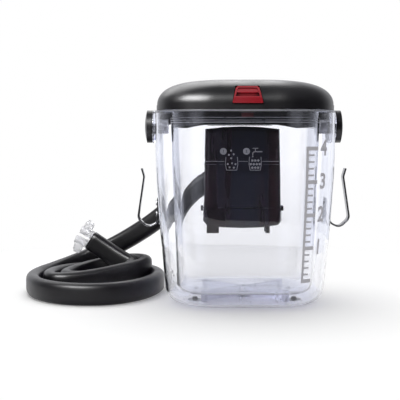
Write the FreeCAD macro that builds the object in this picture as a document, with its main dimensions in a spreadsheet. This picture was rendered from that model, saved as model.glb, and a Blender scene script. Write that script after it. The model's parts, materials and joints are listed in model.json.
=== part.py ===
import FreeCAD, Part
import math
import operator
import os
import Sketcher
from FreeCAD import Placement, Rotation, Vector

# A tabletop hot and cold therapy machine, in millimetres. +Z is up, the red latch faces -Y, the
# hose leaves at +Y and lies on the -X side. The origin is on the ground under the tub's middle.

SIZES = {
    # tub: clear outer shell
    "tub_width": 221.0,
    "tub_depth": 221.0,
    "tub_corner": 70.0,
    "tub_height": 240.0,
    "tub_wall": 2.6,
    "tub_base_inset": 13.9,
    "upright_height": 50.0,
    "base_round": 22.0,
    "foot_height": 2.0,
    # tub: clear reservoir that hangs in the shell by its rim flange
    "liner_gap": 18.5,
    "liner_corner_step": 18.0,
    "liner_floor": 16.0,
    "liner_base_inset": 8.4,
    "liner_wall": 2.2,
    "liner_round": 13.0,
    "flange_thickness": 3.0,
    # base
    "foot_radius": 9.0,
    "foot_stem": 3.0,
    "foot_inset_x": 48.5,
    "foot_inset_y": 74.5,
    "post_radius": 4.5,
    "post_inset_x": 60.5,
    "post_inset_y": 58.5,
    "rib_thickness": 2.0,
    "screw_radius": 1.6,
    "screw_head": 3.4,
    # pivots and handle
    "pivot_drop": 19.0,
    "plate_radius": 20.8,
    "plate_thickness": 5.4,
    "pivot_gap": 0.5,
    "hub_radius": 20.5,
    "bail_thickness": 6.4,
    "bail_height": 19.0,
    "bail_gap": 19.5,
    "bail_corner": 68.0,
    "bail_rest_angle": 7.0,
    "cap_rise": 2.8,
    "pin_radius": 4.0,
    "running_gap": 0.05,
    "boss_radius": 9.0,
    "boss_length": 11.0,
    "grip_length": 92.0,
    "grip_thickness": 13.0,
    "grip_height": 25.0,
    # lid
    "lid_inset": 1.5,
    "lid_corner_step": 1.0,
    "lid_gap": 0.3,
    "band_height": 6.0,
    "band_step": 0.6,
    "dome_rise": 31.8,
    "lid_wall": 3.0,
    "pan_thickness": 2.2,
    "plug_gap": 2.6,
    "plug_corner_step": 4.0,
    "plug_drop": 12.0,
    "skirt_drop": 8.0,
    "gasket_height": 4.0,
    "gasket_gap": 0.9,
    "lid_screw_inset": 31.0,
    "lid_boss_radius": 4.5,
    "foam_height": 24.0,
    # hinge
    "hinge_rise": 4.2,
    "barrel_radius": 3.8,
    "hinge_pin_radius": 1.75,
    "ear_inner": 29.0,
    "ear_outer": 39.0,
    "knuckle_inner": 18.0,
    "knuckle_gap": 0.4,
    "bracket_thickness": 2.2,
    "bracket_drop": 16.0,
    # latch
    "button_width": 35.6,
    "button_top_width": 27.6,
    "button_height": 20.4,
    "button_gap": 0.5,
    "button_travel": 3.5,
    "latch_spring_radius": 4.0,
    "latch_spring_wire": 0.7,
    # side hooks
    "hook_width": 16.0,
    "hook_strip": 2.2,
    "hook_seat_inset": 2.3,
    "hook_drop": 109.0,
    "hook_seat_height": 34.0,
    "hook_reach": 25.5,
    "hook_height": 71.0,
    # hose and its port
    "hose_width": 28.0,
    "hose_thickness": 18.0,
    "port_x": -22.0,
    "port_drop": 80.0,
    "port_reach": 15.5,
    "port_radius": 19.0,
    "port_stem_radius": 12.0,
    "port_rim": 3.0,
    # couplings
    "stub_radius": 4.2,
    "stub_length": 3.0,
    "stub_spacing": 14.6,
    "barb_radius": 5.6,
    "barb_reach": 5.0,
    "wing_thickness": 7.4,
    "wing_reach": 14.5,
    "wing_length": 12.0,
    "nose_radius": 6.1,
    "nose_length": 1.5,
    "coupling_bore": 4.0,
    "coupling_bore_depth": 12.0,
    "release_width": 4.4,
    "release_length": 8.0,
    "release_height": 3.4,
    # pump module
    "bracket_depth": 11.0,
    "pump_depth": 46.0,
    "pump_drop": 18.0,
    "pump_crown": 3.6,
    "cover_height": 107.4,
    "base_height": 26.6,
    "pump_belly": 4.0,
    "pump_top_width": 98.0,
    "pump_bottom_width": 102.6,
    "pump_round": 7.0,
    "pump_wall": 2.5,
    "seam_gap": 0.3,
    "peg_height": 7.0,
    "motor_radius": 16.5,
    "motor_length": 44.0,
    "shaft_radius": 2.0,
    "impeller_radius": 15.5,
    "impeller_height": 8.0,
    "volute_radius": 20.0,
    "tube_radius": 4.0,
    "board_width": 68.0,
    "board_height": 62.0,
    "board_thickness": 1.6,
    "wire_radius": 0.9,
    # power inlet
    "inlet_x": 30.0,
    "inlet_drop": 64.0,
    "inlet_radius": 9.0,
    "inlet_bore": 5.6,
    "inlet_bore_depth": 6.0,
}

doc = FreeCAD.newDocument("TherapyMachine")
sheet = doc.addObject("Spreadsheet::Sheet", "Sizes")
OPERATORS = {"+": operator.add, "-": operator.sub, "*": operator.mul, "/": operator.truediv}


class Size:
    """A length with its value and the expression that ties it to the sheet."""

    def __init__(self, value, text):
        self.value = float(value)
        self.text = text

    def joined(self, sign, other, swapped=False):
        other = other if isinstance(other, Size) else Size(other, f"({float(other):.6f})")
        left, right = (other, self) if swapped else (self, other)
        return Size(OPERATORS[sign](left.value, right.value), f"({left.text} {sign} {right.text})")

    def __add__(self, other):
        return self.joined("+", other)

    def __radd__(self, other):
        return self.joined("+", other, swapped=True)

    def __sub__(self, other):
        return self.joined("-", other)

    def __rsub__(self, other):
        return self.joined("-", other, swapped=True)

    def __mul__(self, other):
        return self.joined("*", other)

    def __rmul__(self, other):
        return self.joined("*", other, swapped=True)

    def __truediv__(self, other):
        return self.joined("/", other)

    def __neg__(self):
        return self.joined("-", 0.0, swapped=True)

    def __float__(self):
        return self.value


class Sheet:
    """The driving sizes, read as attributes by their aliases."""

    def __init__(self, sizes):
        for row, (alias, value) in enumerate(sizes.items(), start=1):
            sheet.set(f"A{row}", alias)
            sheet.set(f"B{row}", str(value))
            sheet.setAlias(f"B{row}", alias)
        doc.recompute()
        for alias in sizes:
            setattr(self, alias, Size(getattr(sheet, alias), f"Sizes.{alias}"))


S = Sheet(SIZES)
PIECES = {}


# ---------------------------------------------------------------- building helpers

def bind(item, **sizes):
    """Sets properties, and ties those given as a Size to the sheet."""
    for name, size in sizes.items():
        if isinstance(size, Size):
            setattr(item, name, size.value)
            item.setExpression(name, size.text)
        else:
            setattr(item, name, size)
    return item


def place(item, x=0, y=0, z=0, rotation=None):
    item.Placement = Placement(Vector(float(x), float(y), float(z)), rotation or Rotation())
    for axis, size in zip("xyz", (x, y, z)):
        if isinstance(size, Size):
            item.setExpression(f"Placement.Base.{axis}", size.text)
    return item


def piece(label, item):
    """Names a finished sub-part, which is written to a file of that name."""
    item.Label = label
    PIECES[label] = item
    return item


def box(x, y, z):
    """A block between the low and high values of each axis."""
    block = doc.addObject("Part::Box", "Block")
    bind(block, Length=x[1] - x[0], Width=y[1] - y[0], Height=z[1] - z[0])
    return place(block, x[0], y[0], z[0])


TURN = {
    "+Z": Rotation(),
    "-Z": Rotation(Vector(1, 0, 0), 180),
    "+X": Rotation(Vector(0, 1, 0), 90),
    "-X": Rotation(Vector(0, 1, 0), -90),
    "+Y": Rotation(Vector(1, 0, 0), -90),
    "-Y": Rotation(Vector(1, 0, 0), 90),
}


def rod(radius, length, start, way="+Z"):
    """A cylinder from a start point along one axis."""
    cylinder = doc.addObject("Part::Cylinder", "Rod")
    bind(cylinder, Radius=radius, Height=length)
    return place(cylinder, *start, rotation=TURN[way])


def fuse(*items):
    joined = doc.addObject("Part::MultiFuse", "Joined")
    joined.Shapes = list(items)
    return joined


def cut(base, *tools):
    result = doc.addObject("Part::Cut", "Cut")
    result.Base = base
    result.Tool = tools[0] if len(tools) == 1 else fuse(*tools)
    return result


def common(first, second):
    result = doc.addObject("Part::Common", "Common")
    result.Base, result.Tool = first, second
    return result


def group(*items):
    """Several separate solids in one sub-part."""
    together = doc.addObject("Part::Compound", "Group")
    together.Links = list(items)
    return together


def solid(shape):
    """A sub-part, or a tool for one, whose shape is made directly."""
    item = doc.addObject("Part::Feature", "Solid")
    item.Shape = shape
    return item


def round_edges(item, radius, chosen):
    """Rounds those edges of an item that the test picks."""
    doc.recompute()
    rounded = doc.addObject("Part::Fillet", "Rounded")
    rounded.Base = item
    edges = enumerate(item.Shape.Edges, start=1)
    rounded.Edges = [(index, float(radius), float(radius)) for index, edge in edges if chosen(edge)]
    return rounded


def new_body():
    return doc.addObject("PartDesign::Body", "Body")


def sketch_on(body, plane, offset=0.0):
    """A sketch on one of the body's origin planes, moved along the plane's normal."""
    sketch = body.newObject("Sketcher::SketchObject", "Sketch")
    support = [feature for feature in body.Origin.OriginFeatures if feature.Role == plane]
    sketch.AttachmentSupport = [(support[0], "")]
    sketch.MapMode = "FlatFace"
    sketch.AttachmentOffset = Placement(Vector(0, 0, float(offset)), Rotation())
    if isinstance(offset, Size):
        sketch.setExpression("AttachmentOffset.Base.z", offset.text)
    return sketch


def outline(sketch, corners):
    """A closed outline of straight edges through corners measured from the sketch's origin."""
    points = [Vector(float(x), float(y), 0) for x, y in corners]
    first = sketch.GeometryCount
    count = len(points)
    for index, point in enumerate(points):
        sketch.addGeometry(Part.LineSegment(point, points[(index + 1) % count]), False)
    for index in range(count):
        following = first + (index + 1) % count
        sketch.addConstraint(Sketcher.Constraint("Coincident", first + index, 2, following, 1))
    for index, corner in enumerate(corners):
        for kind, size in zip(("DistanceX", "DistanceY"), corner):
            number = sketch.addConstraint(
                Sketcher.Constraint(kind, -1, 1, first + index, 1, float(size)))
            if isinstance(size, Size):
                sketch.setExpression(f"Constraints[{number}]", size.text)
    return sketch


def pad(body, sketch, length, both_ways=False, reverse=False):
    feature = body.newObject("PartDesign::Pad", "Pad")
    feature.Profile = sketch
    bind(feature, Length=length)
    feature.Midplane = both_ways
    feature.Reversed = reverse
    return feature


def turned(corners, start=(0, 0, 0), way="+Z"):
    """A body of revolution whose outline is given as radius and distance along its axis."""
    body = new_body()
    sketch = outline(sketch_on(body, "XZ_Plane"), corners)
    feature = body.newObject("PartDesign::Revolution", "Revolution")
    feature.Profile = (sketch, [""])
    feature.ReferenceAxis = (sketch, ["V_Axis"])
    feature.Angle = 360.0
    return place(body, *start, rotation=TURN[way])


def padded(plane, corners, offset, length):
    """A body padded from an outline, away from an origin plane at an offset along its normal."""
    body = new_body()
    pad(body, outline(sketch_on(body, plane, offset), corners), length)
    return body


def rounded_square(half_width, half_depth, corner, height):
    """A closed wire: a rectangle with round corners, level at a height."""
    half_width, half_depth, corner, height = map(float, (half_width, half_depth, corner, height))
    across, along = half_width - corner, half_depth - corner
    edges = []
    for quarter, (x, y) in enumerate(((across, along), (-across, along),
                                      (-across, -along), (across, -along))):
        arc = [Vector(x + corner * math.cos(angle), y + corner * math.sin(angle), height)
               for angle in (math.pi / 2 * quarter + math.pi / 4 * step for step in range(3))]
        edges.append(Part.Arc(*arc).toShape())
    for index in range(4):
        edges.append(Part.LineSegment(edges[index].Vertexes[-1].Point,
                                      edges[(index + 1) % 4].Vertexes[0].Point).toShape())
    ordered = [edges[index + shift] for index in range(4) for shift in (0, 4)]
    return Part.Wire(ordered)


def prism(half_width, half_depth, corner, low, high):
    wire = rounded_square(half_width, half_depth, corner, low)
    return Part.Face(wire).extrude(Vector(0, 0, float(high) - float(low)))


def rounded_path(points, radius=None):
    """Straight runs joined by tangent arcs. An arc's radius is as large as its two runs allow,
    or the one given. Returns the wire and the radii."""
    share = 0.45
    points = [Vector(*point) for point in points]
    edges, radii, start = [], [], points[0]
    for before, corner, after in zip(points, points[1:], points[2:]):
        arrive, leave = corner - before, after - corner
        half_turn = arrive.getAngle(leave) / 2
        largest = share * min(arrive.Length, leave.Length) / math.tan(half_turn)
        bend = min(radius, largest) if radius else largest
        trim = bend * math.tan(half_turn)
        enter = corner - arrive.normalize() * trim
        leave_at = corner + leave.normalize() * trim
        towards_centre = ((enter + leave_at) * 0.5 - corner).normalize()
        middle = corner + towards_centre * (bend / math.cos(half_turn) - bend)
        edges.append(Part.LineSegment(start, enter).toShape())
        edges.append(Part.Arc(enter, middle, leave_at).toShape())
        radii.append(bend)
        start = leave_at
    edges.append(Part.LineSegment(start, points[-1]).toShape())
    return Part.Wire(edges), radii


def stadium(thickness, width):
    """The hose's section, in the plane of X (thickness) and Y (width)."""
    half, straight = thickness / 2, width / 2 - thickness / 2
    return Part.Wire([
        Part.LineSegment(Vector(half, -straight, 0), Vector(half, straight, 0)).toShape(),
        Part.Arc(Vector(half, straight, 0), Vector(0, straight + half, 0),
                 Vector(-half, straight, 0)).toShape(),
        Part.LineSegment(Vector(-half, straight, 0), Vector(-half, -straight, 0)).toShape(),
        Part.Arc(Vector(-half, -straight, 0), Vector(0, -straight - half, 0),
                 Vector(half, -straight, 0)).toShape(),
    ])


def rectangle_section(thickness, width, corner):
    """A rounded rectangle, in the plane of X (thickness) and Y (width)."""
    return rounded_square(thickness / 2, width / 2, corner, 0)


def facing(way, upward=Vector(0, 0, 1)):
    """The rotation that turns a section's normal to a way, its X level and its Y upward."""
    side = way.cross(upward).normalize()
    rise = side.cross(way).normalize()
    return Rotation(side, rise, -way.normalize(), "XYZ")


def path_ends(path):
    """The first and last point of a path, each with the way it goes there."""
    first, last = path.OrderedEdges[0], path.OrderedEdges[-1]
    return ((first.valueAt(first.FirstParameter), first.tangentAt(first.FirstParameter)),
            (last.valueAt(last.LastParameter), last.tangentAt(last.LastParameter)))


def swept(path, section, upward=Vector(0, 0, 1)):
    """A section carried along a path, square to it and with the same side up all the way."""
    (start, way), (end, last_way) = path_ends(path)
    placed = section.copy()
    placed.Placement = Placement(start, facing(way, upward))
    before = Part.LineSegment(start - way * 40, start).toShape()
    after = Part.LineSegment(end, end + last_way * 40).toShape()
    guide = Part.Wire([before, *path.OrderedEdges, after])
    guide.translate(upward * 20)
    shell = Part.BRepOffsetAPI.MakePipeShell(path)
    shell.setAuxiliarySpine(guide, False, 0)
    shell.add(placed)
    shell.build()
    shell.makeSolid()
    return shell.shape()


def swept_rod(points, radius, bend=None):
    """A round wire or tube along runs and arcs."""
    path, _ = rounded_path(points, bend)
    start, way = path_ends(path)[0]
    circle = Part.Wire(Part.makeCircle(float(radius), start, way))
    shell = Part.BRepOffsetAPI.MakePipeShell(path)
    shell.setFrenetMode(True)
    shell.add(circle)
    shell.build()
    shell.makeSolid()
    return shell.shape()


def mirrored(item):
    """The same item on the other side of the machine's middle plane."""
    mirror = doc.addObject("Part::Mirroring", "Mirror")
    mirror.Source = item
    mirror.Normal = Vector(1, 0, 0)
    return mirror


def both_sides(item):
    return group(item, mirrored(item))


def spread(make, across, along):
    """A group with one copy of a piece at each corner of a rectangle."""
    return group(*[make(x, y) for x in (-across, across) for y in (-along, along)])


def screw(start, way, shank, thread=None, head=1.6):
    """A pan-head screw that points a way from under its head."""
    thread = thread or S.screw_radius
    socket, depth = 1.3, 1.0
    corners = [(0.0, -head + depth), (socket, -head + depth), (socket, -head), (S.screw_head - 0.5, -head),
               (S.screw_head, -head + 0.5), (S.screw_head, 0.0), (thread, 0.0), (thread, shank),
               (0.0, shank)]
    return turned(corners, start, way)


# ---------------------------------------------------------------- levels and half sizes

tub_half_x = S.tub_width / 2
tub_half_y = S.tub_depth / 2
taper_height = S.tub_height - S.upright_height
flange_low = S.tub_height - S.flange_thickness
shell_inside_floor = S.foot_height + S.tub_wall
liner_half_x = tub_half_x - S.liner_gap
liner_half_y = tub_half_y - S.liner_gap
liner_corner = S.tub_corner - S.liner_corner_step
liner_slope = S.liner_base_inset / (flange_low - S.liner_floor)
foot_x, foot_y = tub_half_x - S.foot_inset_x, tub_half_y - S.foot_inset_y
post_x, post_y = tub_half_x - S.post_inset_x, tub_half_y - S.post_inset_y
pivot_height = S.tub_height - S.pivot_drop
bail_reach = tub_half_y + S.bail_gap
lid_bottom = S.tub_height + S.lid_gap
dome_low = lid_bottom + S.band_height
lid_half_x = tub_half_x - S.lid_inset
lid_half_y = tub_half_y - S.lid_inset
lid_corner = S.tub_corner - S.lid_corner_step
plug_half_x = liner_half_x - S.liner_wall - S.plug_gap
plug_half_y = liner_half_y - S.liner_wall - S.plug_gap
plug_corner = liner_corner - S.plug_corner_step
lid_screw_x, lid_screw_y = lid_half_x - S.lid_screw_inset, lid_half_y - S.lid_screw_inset
hinge_z = S.tub_height + S.hinge_rise
hub_inside = tub_half_x + S.plate_thickness + S.pivot_gap
hub_outside = hub_inside + S.bail_thickness
hook_high = S.tub_height - S.hook_drop
hook_low = hook_high - S.hook_seat_height
hook_top = hook_low + S.hook_height
port_z = S.tub_height - S.port_drop
inlet_z = S.tub_height - S.inlet_drop
pump_back = liner_half_y - S.bracket_depth
pump_front = pump_back - S.pump_depth
pump_top = S.tub_height - S.pump_drop
pump_shoulder = pump_top - S.pump_crown
pump_seam = pump_top - S.cover_height
pump_bottom = pump_seam - S.base_height
pump_half = S.pump_bottom_width / 2


def shell_wall_half(half, height):
    """Half width of the tub's outside at a height: upright above the taper, drawn in below."""
    rise = (float(height) - float(S.foot_height)) / float(taper_height - S.foot_height)
    return float(half) - float(S.tub_base_inset) * (1 - min(rise, 1.0)) ** 1.4


def liner_back(height):
    """Distance of the reservoir's outer back wall from the middle, at a height."""
    return liner_half_y - liner_slope * (flange_low - height)


# ---------------------------------------------------------------- tub

def tub_volume(inset, floor):
    """The tub's outside, moved inwards by an inset, from its floor to the rim flange."""
    inset, floor = float(inset), float(floor)
    top = float(taper_height)
    sections = []
    for share in (0.0, 0.2, 0.4, 0.6, 0.8, 1.0):
        height = floor + (top - floor) * share
        half_x = shell_wall_half(tub_half_x, height) - inset
        half_y = shell_wall_half(tub_half_y, height) - inset
        corner = (float(S.tub_corner) - inset) * half_x / (float(tub_half_x) - inset)
        sections.append(rounded_square(half_x, half_y, corner, height))
    tapered = Part.makeLoft(sections, True, False)
    lowest = [edge for edge in tapered.Edges if edge.BoundBox.ZMax < floor + 0.01]
    tapered = tapered.makeFillet(float(S.base_round) - inset, lowest)
    upright = prism(float(tub_half_x) - inset, float(tub_half_y) - inset, float(S.tub_corner) - inset,
                    top, flange_low)
    return tapered.fuse(upright)


def liner_volume(inset, floor, top):
    """The reservoir's outside, moved inwards by an inset. Its walls lean by the moulding draft."""
    sections = []
    for height in (floor, top):
        draft = float(liner_slope * (flange_low - height)) + float(inset)
        corner = float(liner_corner) - draft
        sections.append(rounded_square(float(liner_half_x) - draft, float(liner_half_y) - draft,
                                       corner, height))
    tapered = Part.makeLoft(sections, True, True)
    lowest = [edge for edge in tapered.Edges if edge.BoundBox.ZMax < float(floor) + 0.01]
    return tapered.makeFillet(float(S.liner_round) - float(inset), lowest)


tub_outside = solid(tub_volume(0, S.foot_height))
tub_inside = solid(tub_volume(S.tub_wall, shell_inside_floor))
liner_outside = solid(liner_volume(0, S.liner_floor, flange_low))
liner_inside = solid(liner_volume(S.liner_wall, S.liner_floor + S.liner_wall, S.tub_height + 1.0))

post_screw_head = 1.6
hook_seat = tub_half_x - S.hook_seat_inset
seat_band = (-(S.hook_width / 2 + 2.0), S.hook_width / 2 + 2.0)
hook_screw_heights = (hook_low + 12.5, hook_high - 7.0)
tube_places = ((S.port_x - 5.5, port_z + 5.0), (S.port_x + 5.5, port_z - 5.0))
hinge_screw_x = (S.ear_inner - 15.0)
hinge_screw_z = S.tub_height - 9.0
pump_screw_places = [(x, z) for x in (-38.0, 38.0) for z in (pump_seam + 16.0, pump_top - 20.0)]
slot_half = 9.0
slot_y = (-(tub_half_y - 8.3), -(tub_half_y - 15.3))


def outer_shell():
    seat = box((hook_seat - 5.0, hook_seat), seat_band, (hook_low, hook_high))
    holes = [rod(S.pin_radius + 0.2, 20.0, (tub_half_x - 10.0, 0, pivot_height), "+X"),
             rod(S.port_stem_radius, 30.0, (S.port_x, tub_half_y - 15.0, port_z), "+Y"),
             rod(S.inlet_radius - 1.0, 30.0, (S.inlet_x, tub_half_y - 15.0, inlet_z), "+Y")]
    holes.append(mirrored(holes[0]))
    for height in hook_screw_heights:
        hole = rod(S.screw_radius, 20.0, (hook_seat - 10.0, 0, height), "+X")
        holes += [hole, mirrored(hole)]
    for x in (-hinge_screw_x, hinge_screw_x):
        holes.append(rod(S.screw_radius, 20.0, (x, tub_half_y - 10.0, hinge_screw_z), "+Y"))
    holes.append(rod(S.foot_stem, 10.0, (0, 0, 0)))
    for x in (-1, 1):
        for y in (-1, 1):
            holes.append(rod(S.screw_radius + 0.2, 10.0, (x * post_x, y * post_y, 0)))
            holes.append(rod(S.foot_stem, 10.0, (x * foot_x, y * foot_y, 0)))
    piece("outer_shell", cut(fuse(tub_outside, seat, mirrored(seat)), tub_inside, *holes))


def inner_tub():
    flange = solid(prism(tub_half_x, tub_half_y, S.tub_corner, flange_low, S.tub_height))
    slot = box((-slot_half, slot_half), slot_y, (flange_low - 1.0, S.tub_height + 1.0))
    holes = [rod(S.tube_radius, 40.0, (x, pump_back, z), "+Y") for x, z in tube_places]
    holes.append(rod(2.0, 40.0, (S.inlet_x, pump_back, inlet_z), "+Y"))
    holes += [rod(S.screw_radius, 40.0, (x, pump_back, z), "+Y") for x, z in pump_screw_places]
    piece("inner_tub", cut(fuse(liner_outside, flange), liner_inside, slot, *holes))


def base_spacer():
    """Four screw posts and two crossed ribs that hold the reservoir off the shell's floor."""
    levels = (shell_inside_floor, S.liner_floor)
    height = S.liner_floor - shell_inside_floor
    middle = rod(S.foot_stem + 2.0, height, (0, 0, shell_inside_floor))
    middle_room = rod(S.foot_stem + 1.4, 4.0, (0, 0, shell_inside_floor))
    posts = [rod(S.post_radius, height, (x * post_x, y * post_y, shell_inside_floor))
             for x in (-1, 1) for y in (-1, 1)]
    bores = [rod(S.screw_radius, height - 2.0, (x * post_x, y * post_y,
                                                shell_inside_floor))
             for x in (-1, 1) for y in (-1, 1)]
    lean = math.degrees(math.atan2(float(post_y), float(post_x)))
    length = 2 * math.hypot(float(post_x), float(post_y))
    ribs = []
    for side in (-1, 1):
        rib = Part.makeBox(length, float(S.rib_thickness), float(height),
                           Vector(-length / 2, -float(S.rib_thickness) / 2, float(levels[0])))
        rib.rotate(Vector(0, 0, 0), Vector(0, 0, 1), side * lean)
        ribs.append(solid(rib))
    piece("base_spacer", cut(fuse(*posts, *ribs, middle), *bores, middle_room))


def base_fasteners():
    def base_screw(x, y):
        return screw((x, y, S.foot_height), "+Z", 9.5, head=post_screw_head)

    def foot(x, y):
        bulb = S.foot_stem + 1.0
        corners = [(0.0, 0.0), (S.foot_radius - 1.0, 0.0), (S.foot_radius, 1.0),
                   (S.foot_radius, S.foot_height), (S.foot_stem, S.foot_height),
                   (S.foot_stem, shell_inside_floor), (bulb, shell_inside_floor),
                   (S.foot_stem - 0.5, shell_inside_floor + 3.0), (0.0, shell_inside_floor + 3.0)]
        return turned(corners, (x, y, 0))

    piece("base_screws", spread(base_screw, post_x, post_y))
    corners = [foot(x * foot_x, y * foot_y) for x in (-1, 1) for y in (-1, 1)]
    piece("rubber_feet", group(foot(0, 0), *corners))


def side_hooks():
    """Cord hooks of flat steel strip: screwed leg, round bottom, leaning arm and curled tip."""
    strip = float(S.hook_strip)
    middle = float(hook_seat) + strip / 2
    low = float(hook_low)
    reach = middle + float(S.hook_reach)
    points = [(middle, 0, float(hook_high) - 1.0), (middle, 0, low + 2.0),
              (middle + 13.0, 0, low - 4.5), (reach, 0, low + 7.0),
              (reach - 8.0, 0, float(hook_top) - 10.5), (reach - 5.0, 0, float(hook_top))]
    path, _ = rounded_path(points, 9.0)
    section = rectangle_section(strip, float(S.hook_width), strip / 2 - 0.05)
    strip_solid = solid(swept(path, section, Vector(0, 1, 0)))
    holes = [rod(S.screw_radius + 0.1, 12.0, (hook_seat - 5.0, 0, height), "+X")
             for height in hook_screw_heights]
    hook = cut(strip_solid, *holes)
    piece("side_hook_right", hook)
    piece("side_hook_left", mirrored(hook))
    screws = [screw((hook_seat + S.hook_strip, 0, height), "-X", 7.0) for height in hook_screw_heights]
    piece("hook_screws", group(*screws, *[mirrored(item) for item in screws]))


# ---------------------------------------------------------------- handle

def pivots():
    inside = tub_half_x - S.tub_wall
    boss = cut(rod(S.boss_radius, S.boss_length, (inside, 0, pivot_height), "-X"),
               rod(S.pin_radius, S.boss_length - 2.0, (inside, 0, pivot_height), "-X"))
    piece("pivot_bosses", both_sides(boss))
    plate = cut(rod(S.plate_radius, S.plate_thickness, (tub_half_x, 0, pivot_height), "+X"),
                rod(S.pin_radius, S.plate_thickness, (tub_half_x, 0, pivot_height), "+X"))
    piece("pivot_plates", both_sides(round_edges(plate, 0.8, lambda edge: edge.Length > 100)))
    head = 1.8
    seat = S.bail_thickness - 2.1 + S.plate_thickness + S.pivot_gap
    reach = S.boss_length - 2.0 + S.tub_wall
    corners = [(0.0, -reach), (S.pin_radius, -reach), (S.pin_radius, seat), (S.pin_radius + 3.0, seat),
               (S.pin_radius + 3.0, seat + head), (0.0, seat + head)]
    piece("pivot_pins", both_sides(turned(corners, (tub_half_x, 0, pivot_height), "+X")))


def handle():
    """The bail is made flat, pointing back from its pivot axis, then raised to its rest angle."""
    rest = Placement(Vector(0, 0, float(pivot_height)),
                     Rotation(Vector(1, 0, 0), float(S.bail_rest_angle)))
    middle = float(hub_inside + S.bail_thickness / 2)
    reach = float(bail_reach)
    path, _ = rounded_path([(-middle, 0, 0), (-middle, reach, 0), (middle, reach, 0), (middle, 0, 0)],
                           float(S.bail_corner))
    strap = solid(swept(path, rectangle_section(float(S.bail_thickness), float(S.bail_height), 2.8)))
    hubs = [rod(S.hub_radius, S.bail_thickness, (hub_inside, 0, 0), "+X")]
    bores = [rod(S.pin_radius + S.running_gap, S.bail_thickness, (hub_inside, 0, 0), "+X"),
             rod(S.pin_radius + 3.4, 2.4, (hub_outside, 0, 0), "-X")]
    bail = cut(fuse(strap, *hubs, *[mirrored(hub) for hub in hubs]),
               *bores, *[mirrored(bore) for bore in bores])
    bail.Placement = rest
    piece("handle_bail", bail)

    grip_path, _ = rounded_path([(-float(S.grip_length) / 2, reach, 0), (0, reach, 0.001),
                                 (float(S.grip_length) / 2, reach, 0)])
    outer = swept(grip_path, rectangle_section(float(S.grip_thickness), float(S.grip_height), 6.0))
    inner = swept(grip_path, rectangle_section(float(S.bail_thickness), float(S.bail_height), 2.8))
    sleeve = solid(outer.cut(inner))
    sleeve.Placement = rest
    piece("handle_grip", sleeve)

    sphere = doc.addObject("Part::Sphere", "Dome")
    dome_radius = (S.hub_radius * S.hub_radius + S.cap_rise * S.cap_rise) / (2 * S.cap_rise)
    bind(sphere, Radius=dome_radius)
    place(sphere, hub_outside + S.cap_rise - dome_radius, 0, pivot_height)
    cap = common(sphere, rod(S.hub_radius, S.cap_rise, (hub_outside, 0, pivot_height), "+X"))
    piece("handle_caps", both_sides(cap))


# ---------------------------------------------------------------- lid

def dome_volume(inset, low, rise):
    """The lid's dome: each level is a rounded square, drawn in by a squared-off ellipse."""
    inset, low, rise = float(inset), float(low), float(rise)
    squareness, shoulder = 2.2, 4.0
    sections = []
    for level in (0.0, 0.25, 0.5, 0.7, 0.82, 0.9, 0.95, 0.98):
        share = (1 - level ** squareness) ** (1 / shoulder)
        half_x = (float(lid_half_x - S.band_step) - inset) * share
        half_y = (float(lid_half_y - S.band_step) - inset) * share
        corner = (float(lid_corner - S.band_step) - inset) * share
        sections.append(rounded_square(half_x, half_y, corner, low + rise * level))
    return Part.makeLoft(sections, True, False)


button_low = dome_low + 0.6
button_high = button_low + S.button_height
button_half = S.button_width / 2
button_top_half = S.button_top_width / 2
button_back = -(lid_half_y - 13.0)
spring_seat = button_back + S.button_travel + 2.5
pan_low = S.tub_height + 0.6
pan_high = pan_low + S.pan_thickness
plug_low = S.tub_height - S.plug_drop


def hinge_barrels(inner, outer, radius):
    rods = [rod(radius, outer - inner, (inner, tub_half_y, hinge_z), "+X")]
    return rods + [mirrored(rods[0])]


def lid_shell():
    inside_half = lid_half_x - S.lid_wall, lid_half_y - S.lid_wall
    dome = dome_volume(0, dome_low, S.dome_rise)
    outside = solid(prism(lid_half_x, lid_half_y, lid_corner, lid_bottom, dome_low).fuse(dome))
    hollow = dome_volume(S.lid_wall, dome_low, S.dome_rise - S.lid_wall)
    inside = solid(prism(*inside_half, lid_corner - S.lid_wall, lid_bottom, dome_low).fuse(hollow))
    knuckle_outer = S.ear_inner - S.knuckle_gap
    web = box((S.knuckle_inner, knuckle_outer), (lid_half_y - 3.0, tub_half_y),
              (lid_bottom + 0.3, hinge_z + S.barrel_radius))
    knuckles = hinge_barrels(S.knuckle_inner, knuckle_outer, S.barrel_radius)
    notch = box((S.ear_inner - S.knuckle_gap, S.ear_outer + S.knuckle_gap),
                (tub_half_y - S.barrel_radius - 0.8, tub_half_y + 10.0),
                (lid_bottom - 1.0, hinge_z + S.barrel_radius + 1.2))
    bosses, bores = [], []
    for x in (-1, 1):
        for y in (-1, 1):
            at = (x * lid_screw_x, y * lid_screw_y, pan_high)
            bosses.append(rod(S.lid_boss_radius, 30.0, at))
            bores.append(rod(S.screw_radius, 9.0, at))
    opening_low = button_low - S.button_gap
    opening_high = button_high + S.button_gap
    opening_half = button_half + S.button_gap
    opening_top_half = button_top_half + S.button_gap
    opening = padded("XZ_Plane", [(-opening_half, opening_low), (opening_half, opening_low),
                                  (opening_top_half, opening_high), (-opening_top_half, opening_high)],
                     lid_half_y - 30.0, 60.0)
    pin_bores = hinge_barrels(S.knuckle_inner - 1.0, knuckle_outer + 1.0,
                              S.hinge_pin_radius + S.running_gap)
    pin_room = rod(S.hinge_pin_radius + 0.5, 90.0, (-45.0, tub_half_y, hinge_z), "+X")
    shell = cut(outside, inside, notch, mirrored(notch), opening, pin_room)
    half_wall = S.lid_wall / 2
    room = solid(dome_volume(half_wall, dome_low - 4.0, S.dome_rise - half_wall + 4.0))
    posts = common(fuse(*bosses), room)
    solid_lid = fuse(shell, posts, web, mirrored(web), *knuckles)
    piece("lid_shell", cut(solid_lid, *bores, *pin_bores))


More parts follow.
